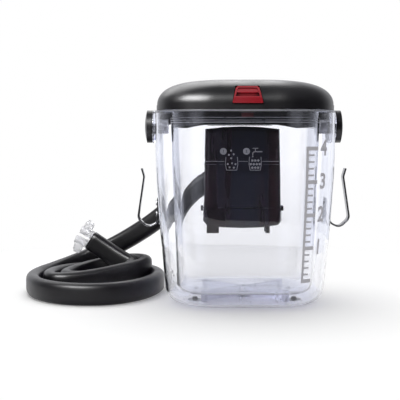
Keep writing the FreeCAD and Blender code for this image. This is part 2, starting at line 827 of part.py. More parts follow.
def ring(half_x, half_y, corner, wall, low, high):
    outer = prism(half_x, half_y, corner, low, high)
    return outer.cut(prism(half_x - wall, half_y - wall, corner - wall, low, high))


def lid_inside():
    """The pan under the lid, whose plug ends in an arched skirt, its foam, gasket and screws."""
    pan_half_x, pan_half_y = lid_half_x - S.lid_wall - 0.3, lid_half_y - S.lid_wall - 0.3
    plate = prism(pan_half_x, pan_half_y, lid_corner - S.lid_wall - 0.3, pan_low, pan_high)
    plug = prism(plug_half_x, plug_half_y, plug_corner, plug_low, pan_low)
    hollow = prism(plug_half_x - S.pan_thickness, plug_half_y - S.pan_thickness,
                   plug_corner - S.pan_thickness, plug_low + S.pan_thickness, pan_high)
    skirt = ring(plug_half_x, plug_half_y, plug_corner, S.pan_thickness, plug_low - S.skirt_drop,
                 plug_low + S.pan_thickness)
    chord = float(plug_half_x) - 12.0
    arch_radius = (chord ** 2 + float(S.skirt_drop) ** 2) / (2 * float(S.skirt_drop))
    arch = Part.makeCylinder(arch_radius, 400.0, Vector(0, -200.0, float(plug_low) - arch_radius),
                             Vector(0, 1, 0))
    pan = solid(plate.fuse(plug).fuse(skirt.cut(arch)).cut(hollow))
    cuts = [box((-slot_half, slot_half), slot_y, (pan_low - 1.0, pan_high + 1.0))]
    for x in (-1, 1):
        for y in (-1, 1):
            at = (x * lid_screw_x, y * lid_screw_y, pan_low)
            cuts.append(rod(S.screw_head + 0.2, 1.2, at))
            cuts.append(rod(S.screw_radius + 0.1, 4.0, at))
    piece("lid_pan", cut(pan, *cuts))

    def lid_screw(x, y):
        return screw((x, y, pan_low + 1.2), "+Z", 8.5, head=1.1)

    piece("lid_screws", spread(lid_screw, lid_screw_x, lid_screw_y))
    gasket_low = plug_low + 5.0
    gasket_half_x = liner_half_x - S.liner_wall - S.gasket_gap
    gasket_half_y = liner_half_y - S.liner_wall - S.gasket_gap
    piece("lid_gasket", solid(ring(gasket_half_x, gasket_half_y,
                                   plug_corner + (gasket_half_x - plug_half_x),
                                   gasket_half_x - plug_half_x, gasket_low,
                                   gasket_low + S.gasket_height)))
    fit = S.pan_thickness + 0.3
    foam_low = plug_low + S.pan_thickness
    piece("lid_foam", solid(prism(plug_half_x - fit, plug_half_y - fit, plug_corner - fit,
                                  foam_low, foam_low + S.foam_height)))


def hinge():
    """A bracket on the tub's back carries two ears; the lid's knuckles turn between them."""
    plate_y = (tub_half_y, tub_half_y + S.bracket_thickness)
    reach = (-S.ear_outer - 1.0, S.ear_outer + 1.0)
    plate = box(reach, plate_y, (S.tub_height - S.bracket_drop, S.tub_height - 1.0))
    ear = fuse(box((S.ear_inner, S.ear_outer), (tub_half_y, tub_half_y + S.barrel_radius),
                   (S.tub_height - 6.0, hinge_z)),
               rod(S.barrel_radius, S.ear_outer - S.ear_inner, (S.ear_inner, tub_half_y, hinge_z), "+X"))
    bores = hinge_barrels(S.ear_inner, S.ear_outer, S.hinge_pin_radius)
    holes = [rod(S.screw_radius, 5.0, (x, tub_half_y, hinge_screw_z), "+Y")
             for x in (-hinge_screw_x, hinge_screw_x)]
    piece("hinge_bracket", cut(fuse(plate, ear, mirrored(ear)), *bores, *holes))
    screws = [screw((x, tub_half_y + S.bracket_thickness, hinge_screw_z), "-Y", 8.0)
              for x in (-hinge_screw_x, hinge_screw_x)]
    piece("hinge_screws", group(*screws))
    length = S.ear_outer * 2 + 3.0
    piece("hinge_pin", rod(S.hinge_pin_radius, length, (-length / 2, tub_half_y, hinge_z), "+X"))


# ---------------------------------------------------------------- latch

def latch():
    """The red button slides in against its spring and carries the hook behind the rim."""
    front = lid_half_y

    def face(inset, nick):
        """The button's front outline, drawn in all round, with its corners cut off."""
        low, high = button_low + inset, button_high - inset
        half, top_half = button_half - inset, button_top_half - inset
        corners = [(half, low + 0.8), (top_half, high - nick), (top_half - nick, high)]
        return [(half - 0.8, low), *corners, *[(-x, z) for x, z in reversed(corners)], (-half + 0.8, low)]

    def between_sides(corners, inset, nick):
        body = new_body()
        pad(body, outline(sketch_on(body, "YZ_Plane"), corners), S.button_width, both_ways=True)
        return common(body, padded("XZ_Plane", face(inset, nick), lid_half_y - 30.0, 60.0))

    red = between_sides([(-front - 2.6, button_low), (-front - 2.0, button_low + 6.5),
                         (-front + 1.6, button_low + 12.0), (-front + 9.6, button_high),
                         (button_back, button_high), (button_back, button_low)], 0.0, 2.4)
    scoop = between_sides([(-front - 12.0, button_low + 7.8), (-front + 6.0, button_low + 8.2),
                           (-front + 6.0, button_low + 10.8), (-front + 3.4, button_low + 12.6),
                           (-front + 8.9, button_high - 2.2), (-front - 12.0, button_high - 2.2)],
                          2.2, 1.4)
    piece("latch_button", cut(red, scoop))

    base_low, base_high = pan_high, button_low - 0.3
    guide_y = (button_back - 8.0, spring_seat + 2.0)
    base = box((-button_half - 4.0, button_half + 4.0), guide_y, (base_low, base_high))
    cheek = box((button_half + 1.0, button_half + 4.0), (button_back - 3.0, spring_seat + 2.0),
                (base_high, base_high + 12.0))
    wall = box((-button_half - 4.0, button_half + 4.0), (spring_seat, spring_seat + 2.0),
               (base_high, base_high + 16.0))
    slot = box((-slot_half, slot_half), slot_y, (base_low - 1.0, base_high + 1.0))
    piece("latch_guide", cut(fuse(base, cheek, mirrored(cheek), wall), slot))

    spring_z = float(button_low) + 10.0
    length = float(spring_seat - button_back)
    helix = Part.makeHelix((length - float(S.latch_spring_wire)) / 4, length - float(S.latch_spring_wire),
                           float(S.latch_spring_radius))
    start = Vector(float(S.latch_spring_radius), 0, 0)
    circle = Part.Wire(Part.makeCircle(float(S.latch_spring_wire) / 2, start, Vector(0, 1, 0)))
    coil = Part.Wire(helix).makePipeShell([circle], True, True)
    spring = solid(coil)
    spring.Placement = Placement(Vector(0, float(button_back) + float(S.latch_spring_wire) / 2, spring_z),
                                 TURN["+Y"])
    piece("latch_spring", spring)

    arm_y = (slot_y[0] + 0.8, slot_y[0] + 2.8)
    arm = box((-7.0, 7.0), arm_y, (flange_low - 6.0, button_low))
    nose = padded("YZ_Plane", [(arm_y[0] - 0.4, flange_low - 5.6), (arm_y[0], flange_low - 5.6),
                               (arm_y[0], flange_low - 0.8), (arm_y[0] - 0.4, flange_low - 0.8)],
                  -7.0, 14.0)
    piece("latch_hook", fuse(arm, nose))
    lip = 1.2
    strike = box((-slot_half, slot_half), (slot_y[0] - 5.4, slot_y[0]),
                 (flange_low - lip, flange_low))
    piece("strike_plate", strike)


# ---------------------------------------------------------------- pump module

def pump_outline(inset, low, top_shoulder, top_crown):
    """Front view of the pump housing: near-upright sides and a crowned top."""
    top_half = S.pump_top_width / 2 - inset
    bottom_half = pump_half - inset
    return [(-bottom_half, low + inset), (bottom_half, low + inset), (top_half, top_shoulder - inset),
            (top_half * 0.5, top_crown - 0.9 - inset), (0.0, top_crown - inset),
            (-top_half * 0.5, top_crown - 0.9 - inset), (-top_half, top_shoulder - inset)]


def pump_shells():
    outside = padded("XZ_Plane", pump_outline(0.0, pump_seam + S.seam_gap, pump_shoulder, pump_top),
                     -pump_back, S.pump_depth)
    front = float(pump_front)
    rounded = round_edges(outside, S.pump_round,
                          lambda edge: edge.BoundBox.ZMax > float(pump_seam) + 2.0
                          and edge.BoundBox.YMax < front + 0.1)
    hollow = padded("XZ_Plane", pump_outline(S.pump_wall, pump_seam + S.seam_gap, pump_shoulder,
                                             pump_top), -pump_back, S.pump_depth - S.pump_wall)
    motor_bore = rod(S.motor_radius + 0.3, 10.0, (0, motor_y, pump_seam - 2.0))
    passages = [rod(S.tube_radius, 8.0, (x, y, pump_seam - 2.0)) for x, y in tube_feet]
    piece("pump_housing", cut(rounded, hollow, motor_bore, *passages))

    belly = pump_bottom + S.pump_belly
    floor = [(-pump_half - 0.4, pump_seam), (-pump_half - 0.8, belly + 6.0), (-pump_half + 4.0, belly),
             (-pump_half * 0.5, pump_bottom + 0.9), (0.0, pump_bottom),
             (pump_half * 0.5, pump_bottom + 0.9), (pump_half - 4.0, belly),
             (pump_half + 0.8, belly + 6.0), (pump_half + 0.4, pump_seam)]
    lower = padded("XZ_Plane", floor, -pump_back, S.pump_depth + 1.5)
    lower_round = round_edges(lower, 5.0, lambda edge: edge.BoundBox.YMax < front - 1.0
                              and edge.BoundBox.ZMin < float(pump_seam) - 3.0)
    room = box((-pump_half + 3.0, pump_half - 3.0), (pump_front + 1.5, pump_back - 3.0),
               (belly + 2.5, pump_seam))
    volute = cut(rod(S.volute_radius, S.impeller_height + 6.0, (0, motor_y, belly + 2.5)),
                 rod(S.volute_radius - 2.5, S.impeller_height + 6.0, (0, motor_y, belly + 2.5)))
    sockets = [rod(S.tube_radius + 1.6, pump_seam - belly_top, (x, y, belly_top)) for x, y in tube_feet]
    seats = [rod(S.tube_radius, 20.0, (x, y, tube_foot_z)) for x, y in tube_feet]
    outlet = rod(2.4, 12.0, (S.volute_radius - 6.0, motor_y - 4.0, belly_top + 5.0), "+X")
    drains = [rod(2.4, 12.0, (x, y, belly_top + 3.0)) for x, y in tube_feet]
    peg_seats = [rod(3.0, peg_top - pump_bottom, (x, y, pump_bottom)) for x, y in peg_places]
    inlet = rod(5.0, 20.0, (0, motor_y, pump_bottom - 2.0))
    intake = box(intake_x, intake_y, (pump_bottom - 2.0, belly + 3.0))
    shell = fuse(cut(lower_round, room), volute, *sockets)
    piece("pump_base", cut(shell, inlet, intake, outlet, *seats, *drains, *peg_seats))
    clip = box((pump_half + 0.8, pump_half + 4.0), (pump_front + 10.0, pump_front + 30.0),
               (pump_seam - 4.0, pump_seam + 2.0))
    piece("pump_clips", both_sides(clip))


motor_y = pump_front + 22.0
belly_top = pump_bottom + S.pump_belly + 2.5
impeller_low = belly_top + 1.5
cover_low = belly_top + S.impeller_height + 6.0
motor_low = cover_low + 2.4
peg_top = pump_bottom + S.pump_belly + 1.0
peg_places = [(34.0, pump_front + 10.0), (34.0, pump_back - 12.0), (-34.0, pump_back - 12.0)]
tube_feet = ((S.volute_radius + 5.0, motor_y - 5.0), (-(S.volute_radius + 6.0), motor_y + 5.0))
tube_foot_z = pump_seam - 10.0
intake_x = (-(S.pump_bottom_width / 2 - 4.3), -(S.pump_bottom_width / 2 - 20.7))
intake_y = (pump_front + 6.0, pump_front + 22.0)


def pump_intake():
    """A screened intake under the left of the pump and a locating peg under its right."""
    low, high = pump_bottom - S.peg_height, pump_bottom + S.pump_belly + 2.5
    frame = box(intake_x, intake_y, (low, high))
    hollow = box((intake_x[0] + 1.6, intake_x[1] - 1.6), (intake_y[0] + 1.6, intake_y[1] - 1.6),
                 (low + 1.5, high))
    slots = []
    for number in range(4):
        start = intake_x[0] + 2.6 + 3.2 * number
        slots.append(box((start, start + 1.6), (intake_y[0] + 2.5, intake_y[1] - 2.5),
                         (low - 1.0, low + 2.0)))
    piece("intake_screen", cut(frame, hollow, *slots))
    piece("pump_pegs", group(*[rod(3.0, peg_top - low, (x, y, low)) for x, y in peg_places]))


def pump_drive():
    shaft_gap = S.shaft_radius + S.running_gap
    cover = cut(rod(S.volute_radius, 2.0, (0, motor_y, cover_low)),
                rod(S.shaft_radius + 1.0, 2.0, (0, motor_y, cover_low)))
    piece("volute_cover", cover)
    seal = turned([(shaft_gap, -1.5), (4.0, -1.5), (4.0, 0.0), (shaft_gap, 0.0)],
                  (0, motor_y, cover_low))
    piece("shaft_seal", seal)
    motor = turned([(shaft_gap, 0.0), (S.motor_radius - 4.0, 0.0), (S.motor_radius, 2.0),
                    (S.motor_radius, S.motor_length - 2.0), (S.motor_radius - 2.0, S.motor_length),
                    (5.0, S.motor_length), (5.0, S.motor_length - 4.0),
                    (shaft_gap, S.motor_length - 4.0)], (0, motor_y, motor_low))
    piece("motor_can", motor)
    bearing = turned([(shaft_gap, 0.0), (5.0, 0.0), (5.0, 4.0), (shaft_gap, 4.0)],
                     (0, motor_y, motor_low + S.motor_length - 4.0))
    piece("shaft_bearing", bearing)
    shaft_low = impeller_low + 1.0
    shaft_high = motor_low + S.motor_length + 2.0
    piece("motor_shaft", rod(S.shaft_radius, shaft_high - shaft_low, (0, motor_y, shaft_low)))

    hub = rod(5.0, S.impeller_height, (0, motor_y, impeller_low))
    disc = rod(S.impeller_radius, 1.6, (0, motor_y, impeller_low + S.impeller_height - 1.6))
    blades = []
    for number in range(6):
        blade = box((4.0, S.impeller_radius - 0.5), (-0.7, 0.7), (0.0, S.impeller_height - 1.0))
        blade.Placement = Placement(Vector(0, float(motor_y), float(impeller_low)),
                                    Rotation(Vector(0, 0, 1), 60.0 * number))
        bind(blade)
        blades.append(blade)
    piece("impeller", cut(fuse(hub, disc, *blades),
                          rod(S.shaft_radius, S.impeller_height - 1.0, (0, motor_y, impeller_low + 1.0))))


def pump_back_parts():
    bracket_z = (pump_seam + 4.0, pump_top - 8.0)
    block = box((-pump_half + 4.0, pump_half - 4.0), (pump_back, liner_half_y), bracket_z)
    holes = [rod(S.tube_radius, 20.0, (x, pump_back - 1.0, z), "+Y") for x, z in tube_places]
    holes.append(rod(2.0, 20.0, (S.inlet_x, pump_back - 1.0, inlet_z), "+Y"))
    holes += [rod(S.screw_radius, 20.0, (x, pump_back - 1.0, z), "+Y") for x, z in pump_screw_places]
    piece("pump_bracket", cut(common(block, liner_inside), *holes))
    screws = [screw((x, liner_back(z) + 0.2, z), "-Y", 9.0) for x, z in pump_screw_places]
    piece("pump_screws", group(*screws))

    board_y = pump_back - 4.0
    board_low = inlet_z - S.board_height + 12.0
    board_half = S.board_width / 2
    board = box((-board_half, board_half), (board_y, board_y + S.board_thickness),
                (board_low, board_low + S.board_height))
    gaps = [rod(S.tube_radius + 1.0, 4.0, (x, board_y - 1.0, z), "+Y") for x, z in tube_places]
    piece("control_board", cut(board, *gaps))
    stand_y = board_y + S.board_thickness
    stands = [rod(2.0, 4.0 - S.board_thickness, (x * (board_half - 5.0), stand_y, z), "+Y")
              for x in (-1, 1) for z in (board_low + 6.0, board_low + S.board_height - 6.0)]
    piece("board_stands", group(*stands))

    motor_top = float(motor_low + S.motor_length)
    leads = []
    for x in (-9.0, 9.0):
        leads.append(solid(swept_rod([(x, float(board_y), motor_top + 14.0),
                                      (x, float(motor_y) + 6.0, motor_top + 14.0),
                                      (x, float(motor_y) + 6.0, motor_top)], S.wire_radius)))
    piece("pump_leads", group(*leads))
    lead_start = board_y + S.board_thickness
    piece("power_lead", rod(2.0, inlet_end - lead_start, (S.inlet_x, lead_start, inlet_z), "+Y"))


inlet_end = tub_half_y - 13.0


def water_tubes():
    """Two tubes from the hose port to the pump base. The upper one crosses over the motor."""
    back = float(port_end)
    (supply_x, supply_z), (return_x, return_z) = [(float(x), float(z)) for x, z in tube_places]
    (supply_foot_x, supply_foot_y), (return_foot_x, return_foot_y) = [
        (float(x), float(y)) for x, y in tube_feet]
    low = float(tube_foot_z)
    supply = [(supply_x, back, supply_z), (supply_x, supply_foot_y, supply_z),
              (supply_foot_x, supply_foot_y, supply_z), (supply_foot_x, supply_foot_y, low)]
    returned = [(return_x, back, return_z), (return_x, back - 20.0, return_z),
                (return_foot_x, return_foot_y, return_z - 4.0), (return_foot_x, return_foot_y, low)]
    piece("supply_tube", solid(swept_rod(supply, S.tube_radius, 8.0)))
    piece("return_tube", solid(swept_rod(returned, S.tube_radius, 8.0)))


def power_inlet():
    outer = rod(S.inlet_radius + 2.5, 3.0, (S.inlet_x, tub_half_y - 0.9, inlet_z), "+Y")
    barrel = rod(S.inlet_radius - 1.0, tub_half_y - inlet_end, (S.inlet_x, inlet_end, inlet_z), "+Y")
    mouth = rod(S.inlet_bore, S.inlet_bore_depth, (S.inlet_x, tub_half_y + 2.1, inlet_z), "-Y")
    socket = rod(3.2, S.inlet_bore_depth + 5.0, (S.inlet_x, tub_half_y + 2.1, inlet_z), "-Y")
    contact = rod(1.0, 4.0, (S.inlet_x, tub_half_y + 2.1 - S.inlet_bore_depth - 5.0, inlet_z), "+Y")
    collar = cut(outer, tub_outside)
    piece("power_inlet", fuse(cut(fuse(collar, barrel), mouth, socket), contact))


# ---------------------------------------------------------------- hose

HOSE_RUN = [(-22, 126, 160), (-62, 138, 128), (-116, 155, 89), (-172, 177, 52.5), (-224, 184, 28)]
HOSE_RUN[0] = tuple(float(size) for size in (S.port_x, tub_half_y + S.port_reach, port_z))
HOSE_TAIL = [(-148, 114, 26), (-166, 119, 34), (-188, 125, 47.5), (-210, 129, 62)]

port_end = liner_half_y + 4.0
exit_point = Vector(*HOSE_RUN[0])
exit_way = (Vector(*HOSE_RUN[1]) - exit_point).normalize()


def hose_port():
    """A bulkhead elbow on the tub's back: round flange, block and an oval socket for the hose."""
    flange = rod(S.port_radius + S.port_rim, 4.0, (S.port_x, tub_half_y - 1.8, port_z), "+Y")
    neck_length = exit_point.y - float(tub_half_y) + 8.0
    neck = rod(S.port_radius - 3.0, neck_length, (S.port_x, tub_half_y - 1.0, port_z), "+Y")
    stem = rod(S.port_stem_radius, tub_half_y - port_end, (S.port_x, port_end, port_z), "+Y")
    turn = facing(exit_way)
    socket_back = exit_point - exit_way * 12.0
    socket_section = stadium(float(S.hose_thickness), float(S.hose_width))
    socket_section.Placement = Placement(socket_back, turn)
    socket = solid(Part.Face(socket_section).extrude(exit_way * 12.0))
    body = cut(fuse(flange, neck, socket), tub_outside)
    piece("hose_port", cut(fuse(body, stem), PIECES["hose_run"]))

    boot = []
    for along, grow in ((-4.0, 4.0), (8.0, 3.4), (24.0, 1.4)):
        section = stadium(float(S.hose_thickness) + 2 * grow, float(S.hose_width) + 2 * grow)
        section.Placement = Placement(exit_point + exit_way * along, turn)
        boot.append(section)
    bore = stadium(float(S.hose_thickness), float(S.hose_width))
    bore.Placement = Placement(exit_point - exit_way * 5.0, turn)
    clear = Part.Face(bore).extrude(exit_way * 40.0)
    neck_clear = Part.makeCylinder(float(S.port_radius) - 3.0, 60.0,
                                   Vector(float(S.port_x), float(tub_half_y) - 20.0, float(port_z)),
                                   Vector(0, 1, 0))
    sleeve = Part.makeLoft(boot, True, True).cut(clear).cut(neck_clear)
    piece("hose_boot", solid(max(sleeve.Solids, key=lambda part: part.Volume)))
    nut_y = tub_half_y - S.tub_wall - 2.4
    nut = cut(rod(S.port_stem_radius + 5.0, 5.0, (S.port_x, nut_y, port_z), "-Y"),
              rod(S.port_stem_radius, 5.0, (S.port_x, nut_y, port_z), "-Y"))
    piece("port_nut", nut)
    seal = cut(rod(S.port_stem_radius + 4.0, 4.0, (S.port_x, nut_y, port_z), "+Y"),
               rod(S.port_stem_radius, 4.0, (S.port_x, nut_y, port_z), "+Y"))
    piece("port_seal", common(seal, tub_inside))


def hose():
    section = stadium(float(S.hose_thickness), float(S.hose_width))
    area = Part.Face(section).Area
    for label, points in (("hose_run", HOSE_RUN), ("hose_tail", HOSE_TAIL)):
        path, radii = rounded_path(points)
        tube = swept(path, section)
        print(label, "radii", [round(radius) for radius in radii],
              "volume ratio", round(tube.Volume / (area * path.Length), 3), "length", round(path.Length))
        piece(label, solid(tube))


def closed_curve(points, height):
    curve = Part.BSplineCurve()
    curve.interpolate([Vector(x, y, height) for x, y in points], PeriodicFlag=True)
    return Part.Face(Part.Wire(curve.toShape()))


def hose_coil():
    """The coil's outer shape: a low outer turn, and inner turns that lean up to the right."""
    width = float(S.hose_width)
    around = [(-286, 100), (-286, 45), (-256, -22), (-215, -54), (-172, -54), (-133, -22), (-109, 32),
              (-106, 82), (-122, 130), (-155, 172), (-200, 190), (-240, 178), (-268, 150)]
    front_gap = [(-262, 38), (-240, 5), (-205, -34), (-176, -34), (-150, -12), (-128, 34), (-127, 62),
                 (-160, 55), (-205, 34), (-245, 30)]
    eye = [(-226, 96), (-222, 78), (-200, 82), (-180, 95), (-168, 104), (-186, 128), (-212, 124)]
    low = closed_curve(around, 0).extrude(Vector(0, 0, width))
    inner_turns = [(-266, 100), (-268, 62), (-252, 33), (-210, 36), (-168, 54), (-136, 74), (-124, 102),
                   (-138, 134), (-175, 155), (-212, 168), (-246, 146)]
    raised = closed_curve(inner_turns, width / 2).extrude(Vector(0, 0, width * 1.2))
    lean = Part.makeBox(300, 260, 60, Vector(-306, -40, width + 1.0))
    lean.rotate(Vector(-266, 0, width + 1.0), Vector(0, 1, 0), -6.5)
    raised = raised.cut(lean)
    holes = [closed_curve(points, -1).extrude(Vector(0, 0, 3 * width)) for points in (front_gap, eye)]
    coil = solid(low.fuse(raised).cut(holes[0]).cut(holes[1]))
    piece("hose_coil", cut(coil, PIECES["hose_run"], PIECES["hose_tail"]))


# ---------------------------------------------------------------- couplings

tail_way = (Vector(*HOSE_TAIL[-1]) - Vector(*HOSE_TAIL[-2])).normalize()
tail_turn = facing(tail_way)
tail_rise = tail_turn.multVec(Vector(0, 1, 0))
coupling_lean = {"upper": -5.0, "lower": -9.0}


def set_on_tail(shape, across, along, lean):
    """Puts a shape made along +Z on the hose's end, off its middle and leaning along its width."""
    shape = shape.copy()
    base = Vector(*HOSE_TAIL[-1]) + tail_rise * across + tail_way * along
    upright = Rotation(tail_turn.multVec(Vector(-1, 0, 0)), tail_rise, tail_way, "XYZ")
    shape.Placement = Placement(base, upright * Rotation(Vector(-1, 0, 0), lean))
    return shape


def rounded_block(half_x, y_range, corner, low, high):
    """A block with round corners and softened ends, between two distances along Y."""
    middle, half_y = (y_range[0] + y_range[1]) / 2, (y_range[1] - y_range[0]) / 2
    block = prism(half_x, half_y, corner, low, high)
    block = block.makeFillet(1.2, [edge for edge in block.Edges if edge.BoundBox.ZLength < 0.01])
    return block.translated(Vector(0, middle, 0))


def coupling(side):
    """A quick coupling: a barbed barrel with an open nose, and a thumb wing on its outer side
    whose end carries the sprung release."""
    start, outer = float(S.barb_reach), float(S.wing_reach)
    wing_high = start + float(S.wing_length)
    length = wing_high + float(S.nose_length)
    barrel = Part.makeCylinder(float(S.barb_radius), wing_high)
    barbs = [Part.makeCone(float(S.barb_radius) + 0.6, float(S.barb_radius), 1.8, Vector(0, 0, low))
             for low in (0.0, 2.4)]
    wing = rounded_block(float(S.wing_thickness) / 2, (-4.0, outer), 2.4, start, wing_high)
    nose = Part.makeCylinder(float(S.nose_radius), float(S.nose_length) + 3.0,
                             Vector(0, 0, wing_high - 3.0))
    bore = Part.makeCylinder(float(S.coupling_bore), float(S.coupling_bore_depth),
                             Vector(0, 0, length - float(S.coupling_bore_depth)))
    half, long = float(S.release_width) / 2, float(S.release_length)
    height, gap = float(S.release_height), 0.3
    low = start + (float(S.wing_length) - long) / 2
    pocket_floor = outer - 2.0
    pocket = Part.makeBox(2 * (half + gap), height, long + 2 * gap,
                          Vector(-half - gap, pocket_floor, low - gap))
    button = Part.makeBox(2 * half, height, long, Vector(-half, pocket_floor + 1.6, low))
    button = button.makeFillet(0.8, [edge for edge in button.Edges
                                     if edge.BoundBox.YMin > pocket_floor + height])
    body = barrel.fuse([*barbs, wing, nose]).cut(bore).cut(pocket)
    if side < 0:
        body, button = (shape.mirror(Vector(0, 0, 0), Vector(0, 1, 0)) for shape in (body, button))
    return body, button


def couplings():
    stubs = []
    for label, side in (("upper", 1), ("lower", -1)):
        across, lean = side * float(S.stub_spacing) / 2, coupling_lean[label]
        stub = Part.makeCylinder(float(S.stub_radius), float(S.stub_length))
        stubs.append(solid(set_on_tail(stub, across, 0, 0)))
        body, button = (set_on_tail(shape, across, 1.4, lean) for shape in coupling(side))
        piece(f"coupling_{label}", cut(solid(body), stubs[-1]))
        piece(f"coupling_release_{label}", solid(button))
    piece("tube_stubs", group(*stubs))


# ---------------------------------------------------------------- build and write

outer_shell()
inner_tub()
base_spacer()
base_fasteners()
side_hooks()
pivots()
handle()
lid_shell()
lid_inside()
hinge()
latch()
pump_shells()
pump_intake()
pump_drive()
pump_back_parts()
water_tubes()
power_inlet()
hose()
hose_coil()
hose_port()
couplings()
doc.recompute()

broken = [item.Label for item in doc.Objects if {"Invalid", "Error"} & set(item.State)]
broken += [label for label, item in PIECES.items() if item.Shape.isNull() or not item.Shape.isValid()]
if broken:
    raise SystemExit("these objects failed: " + ", ".join(broken))

os.makedirs("parts", exist_ok=True)
for label, item in PIECES.items():
    item.Shape.exportStep(os.path.join("parts", label + ".step"))
print(len(PIECES), "sub-parts written")
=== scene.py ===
import json
import math

import bmesh
import bpy
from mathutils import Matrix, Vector
from mathutils.bvhtree import BVHTree

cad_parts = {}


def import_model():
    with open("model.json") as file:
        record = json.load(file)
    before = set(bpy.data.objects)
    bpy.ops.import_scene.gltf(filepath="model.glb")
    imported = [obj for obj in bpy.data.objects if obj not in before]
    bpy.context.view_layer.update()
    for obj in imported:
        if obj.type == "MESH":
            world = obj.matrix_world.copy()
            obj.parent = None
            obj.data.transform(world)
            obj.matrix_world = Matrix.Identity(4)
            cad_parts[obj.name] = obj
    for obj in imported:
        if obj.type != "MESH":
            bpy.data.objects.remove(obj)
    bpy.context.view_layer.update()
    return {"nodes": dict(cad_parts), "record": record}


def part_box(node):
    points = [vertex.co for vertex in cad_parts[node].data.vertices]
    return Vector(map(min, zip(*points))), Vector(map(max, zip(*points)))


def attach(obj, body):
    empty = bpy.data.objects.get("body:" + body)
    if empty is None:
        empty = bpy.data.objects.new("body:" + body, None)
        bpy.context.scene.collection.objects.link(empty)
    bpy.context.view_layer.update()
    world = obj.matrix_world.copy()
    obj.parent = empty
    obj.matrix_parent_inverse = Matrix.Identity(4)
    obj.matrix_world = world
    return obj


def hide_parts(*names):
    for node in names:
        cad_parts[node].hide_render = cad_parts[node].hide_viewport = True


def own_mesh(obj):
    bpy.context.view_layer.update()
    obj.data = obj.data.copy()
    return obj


# A tabletop hot and cold therapy machine. The frame's solids keep their shapes and get their
# finishes here; the hose, the prints and the small surface details are made here.

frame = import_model()
MM = 0.001


# ---------------------------------------------------------------- camera

SENSOR_WIDTH, LENS = 36.0, 87.66
CAMERA_PLACE, CAMERA_NEAR = (-0.0556, -1.245, 0.204), 0.05
CAMERA_DOWN = math.radians(3.525)


def set_camera():
    """The photograph's view: from just under the lid's height, a little left of the middle."""
    camera = bpy.data.objects.new("camera", bpy.data.cameras.new("camera"))
    camera.data.sensor_width = SENSOR_WIDTH
    camera.data.lens = LENS
    camera.data.clip_start = CAMERA_NEAR
    camera.location = CAMERA_PLACE
    camera.rotation_euler = (math.pi / 2 - CAMERA_DOWN, 0, 0)
    bpy.context.scene.collection.objects.link(camera)
    bpy.context.scene.camera = camera


set_camera()


# ---------------------------------------------------------------- mesh helpers

def add_piece(name, mesh, material, body="tub"):
    """A new piece from a mesh, with its finish, riding on a body."""
    mesh.name = name
    piece = bpy.data.objects.new(name, mesh)
    bpy.context.scene.collection.objects.link(piece)
    mesh.materials.append(material)
    if body:
        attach(piece, body)
    return piece


def mesh_from(points, faces, smooth=True):
    """A mesh with its faces turned outward."""
    mesh = bpy.data.meshes.new("mesh")
    mesh.from_pydata([tuple(point) for point in points], [], faces)
    mesh.validate()
    clean = bmesh.new()
    clean.from_mesh(mesh)
    bmesh.ops.recalc_face_normals(clean, faces=clean.faces)
    clean.to_mesh(mesh)
    clean.free()
    for face in mesh.polygons:
        face.use_smooth = smooth
    return mesh


def spline_points(controls, resolution=10):
    """Evenly run points of the smooth line that has these points as its control points."""
    curve = bpy.data.curves.new("route", "CURVE")
    curve.dimensions = "3D"
    curve.resolution_u = resolution
    spline = curve.splines.new("NURBS")
    spline.points.add(len(controls) - 1)
    for point, control in zip(spline.points, controls):
        point.co = (*control, 1.0)
    spline.order_u = 3
    spline.use_endpoint_u = True
    holder = bpy.data.objects.new("route", curve)
    line = bpy.data.meshes.new_from_object(holder)
    points = [vertex.co.copy() for vertex in line.vertices]
    bpy.data.objects.remove(holder)
    bpy.data.curves.remove(curve)
    bpy.data.meshes.remove(line)
    return points


def upright_frames(points):
    """At each point of a line: the way it goes, level to its side, and upward across it."""
    frames = []
    for index, point in enumerate(points):
        before, after = points[max(index - 1, 0)], points[min(index + 1, len(points) - 1)]
        way = (after - before).normalized()
        side = way.cross(Vector((0, 0, 1))).normalized()
        frames.append((point, way, side, side.cross(way).normalized()))
    return frames


# Where the points of a bulging side lie, and how far they are spread along it.
SIDE_HEIGHTS = (0.55, 0.2, -0.2, -0.55)
SIDE_SPREAD = 1.6


def rounded_section(half_across, half_up, corner, bulge, steps=6):
    """Points of a rounded rectangle whose upright sides bulge a little."""
    section = []
    for quarter, (x, y) in enumerate(((1, 1), (-1, 1), (-1, -1), (1, -1))):
        for step in range(steps + 1):
            angle = math.pi / 2 * (quarter + step / steps)
            section.append((x * (half_across - corner) + corner * math.cos(angle),
                            y * (half_up - corner) + corner * math.sin(angle)))
        if quarter in (1, 3):
            side = 1 if quarter == 3 else -1
            for height in SIDE_HEIGHTS[::-side]:
                section.append((side * (half_across + bulge * (1 - height * height)),
                                height * (half_up - corner) * SIDE_SPREAD))
    return section


def tube_mesh(frames, section, mouth=None):
    """A tube with one section along a line. The mouth is (lip, depth): its far end is hollow, with
    a rounded lip."""
    points, faces = [], []
    count = len(section)

    def ring(at, scale=1.0, shift=0.0):
        point, way, side, up = at
        middle = point + way * shift
        points.extend(middle + side * (x * scale) + up * (y * scale) for x, y in section)

    for at in frames:
        ring(at)
    rings = len(frames)
    if mouth:
        lip, depth = mouth
        half = max(x for x, _ in section)
        for inward, onward in ((0.25, 0.4 * MM), (0.8, 0.3 * MM), (1.0, -0.8 * MM), (1.0, -depth)):
            ring(frames[-1], 1 - inward * lip / half, onward)
            rings += 1
    for row in range(rings - 1):
        for index in range(count):
            following = (index + 1) % count
            faces.append((row * count + index, row * count + following,
                          (row + 1) * count + following, (row + 1) * count + index))
    faces.append(tuple(range(count)))
    faces.append(tuple(range((rings - 1) * count, rings * count)))
    return mesh_from(points, faces)


# ---------------------------------------------------------------- materials

WHITE, LAVENDER = (1.0, 1.0, 1.0), (0.42, 0.44, 0.62)


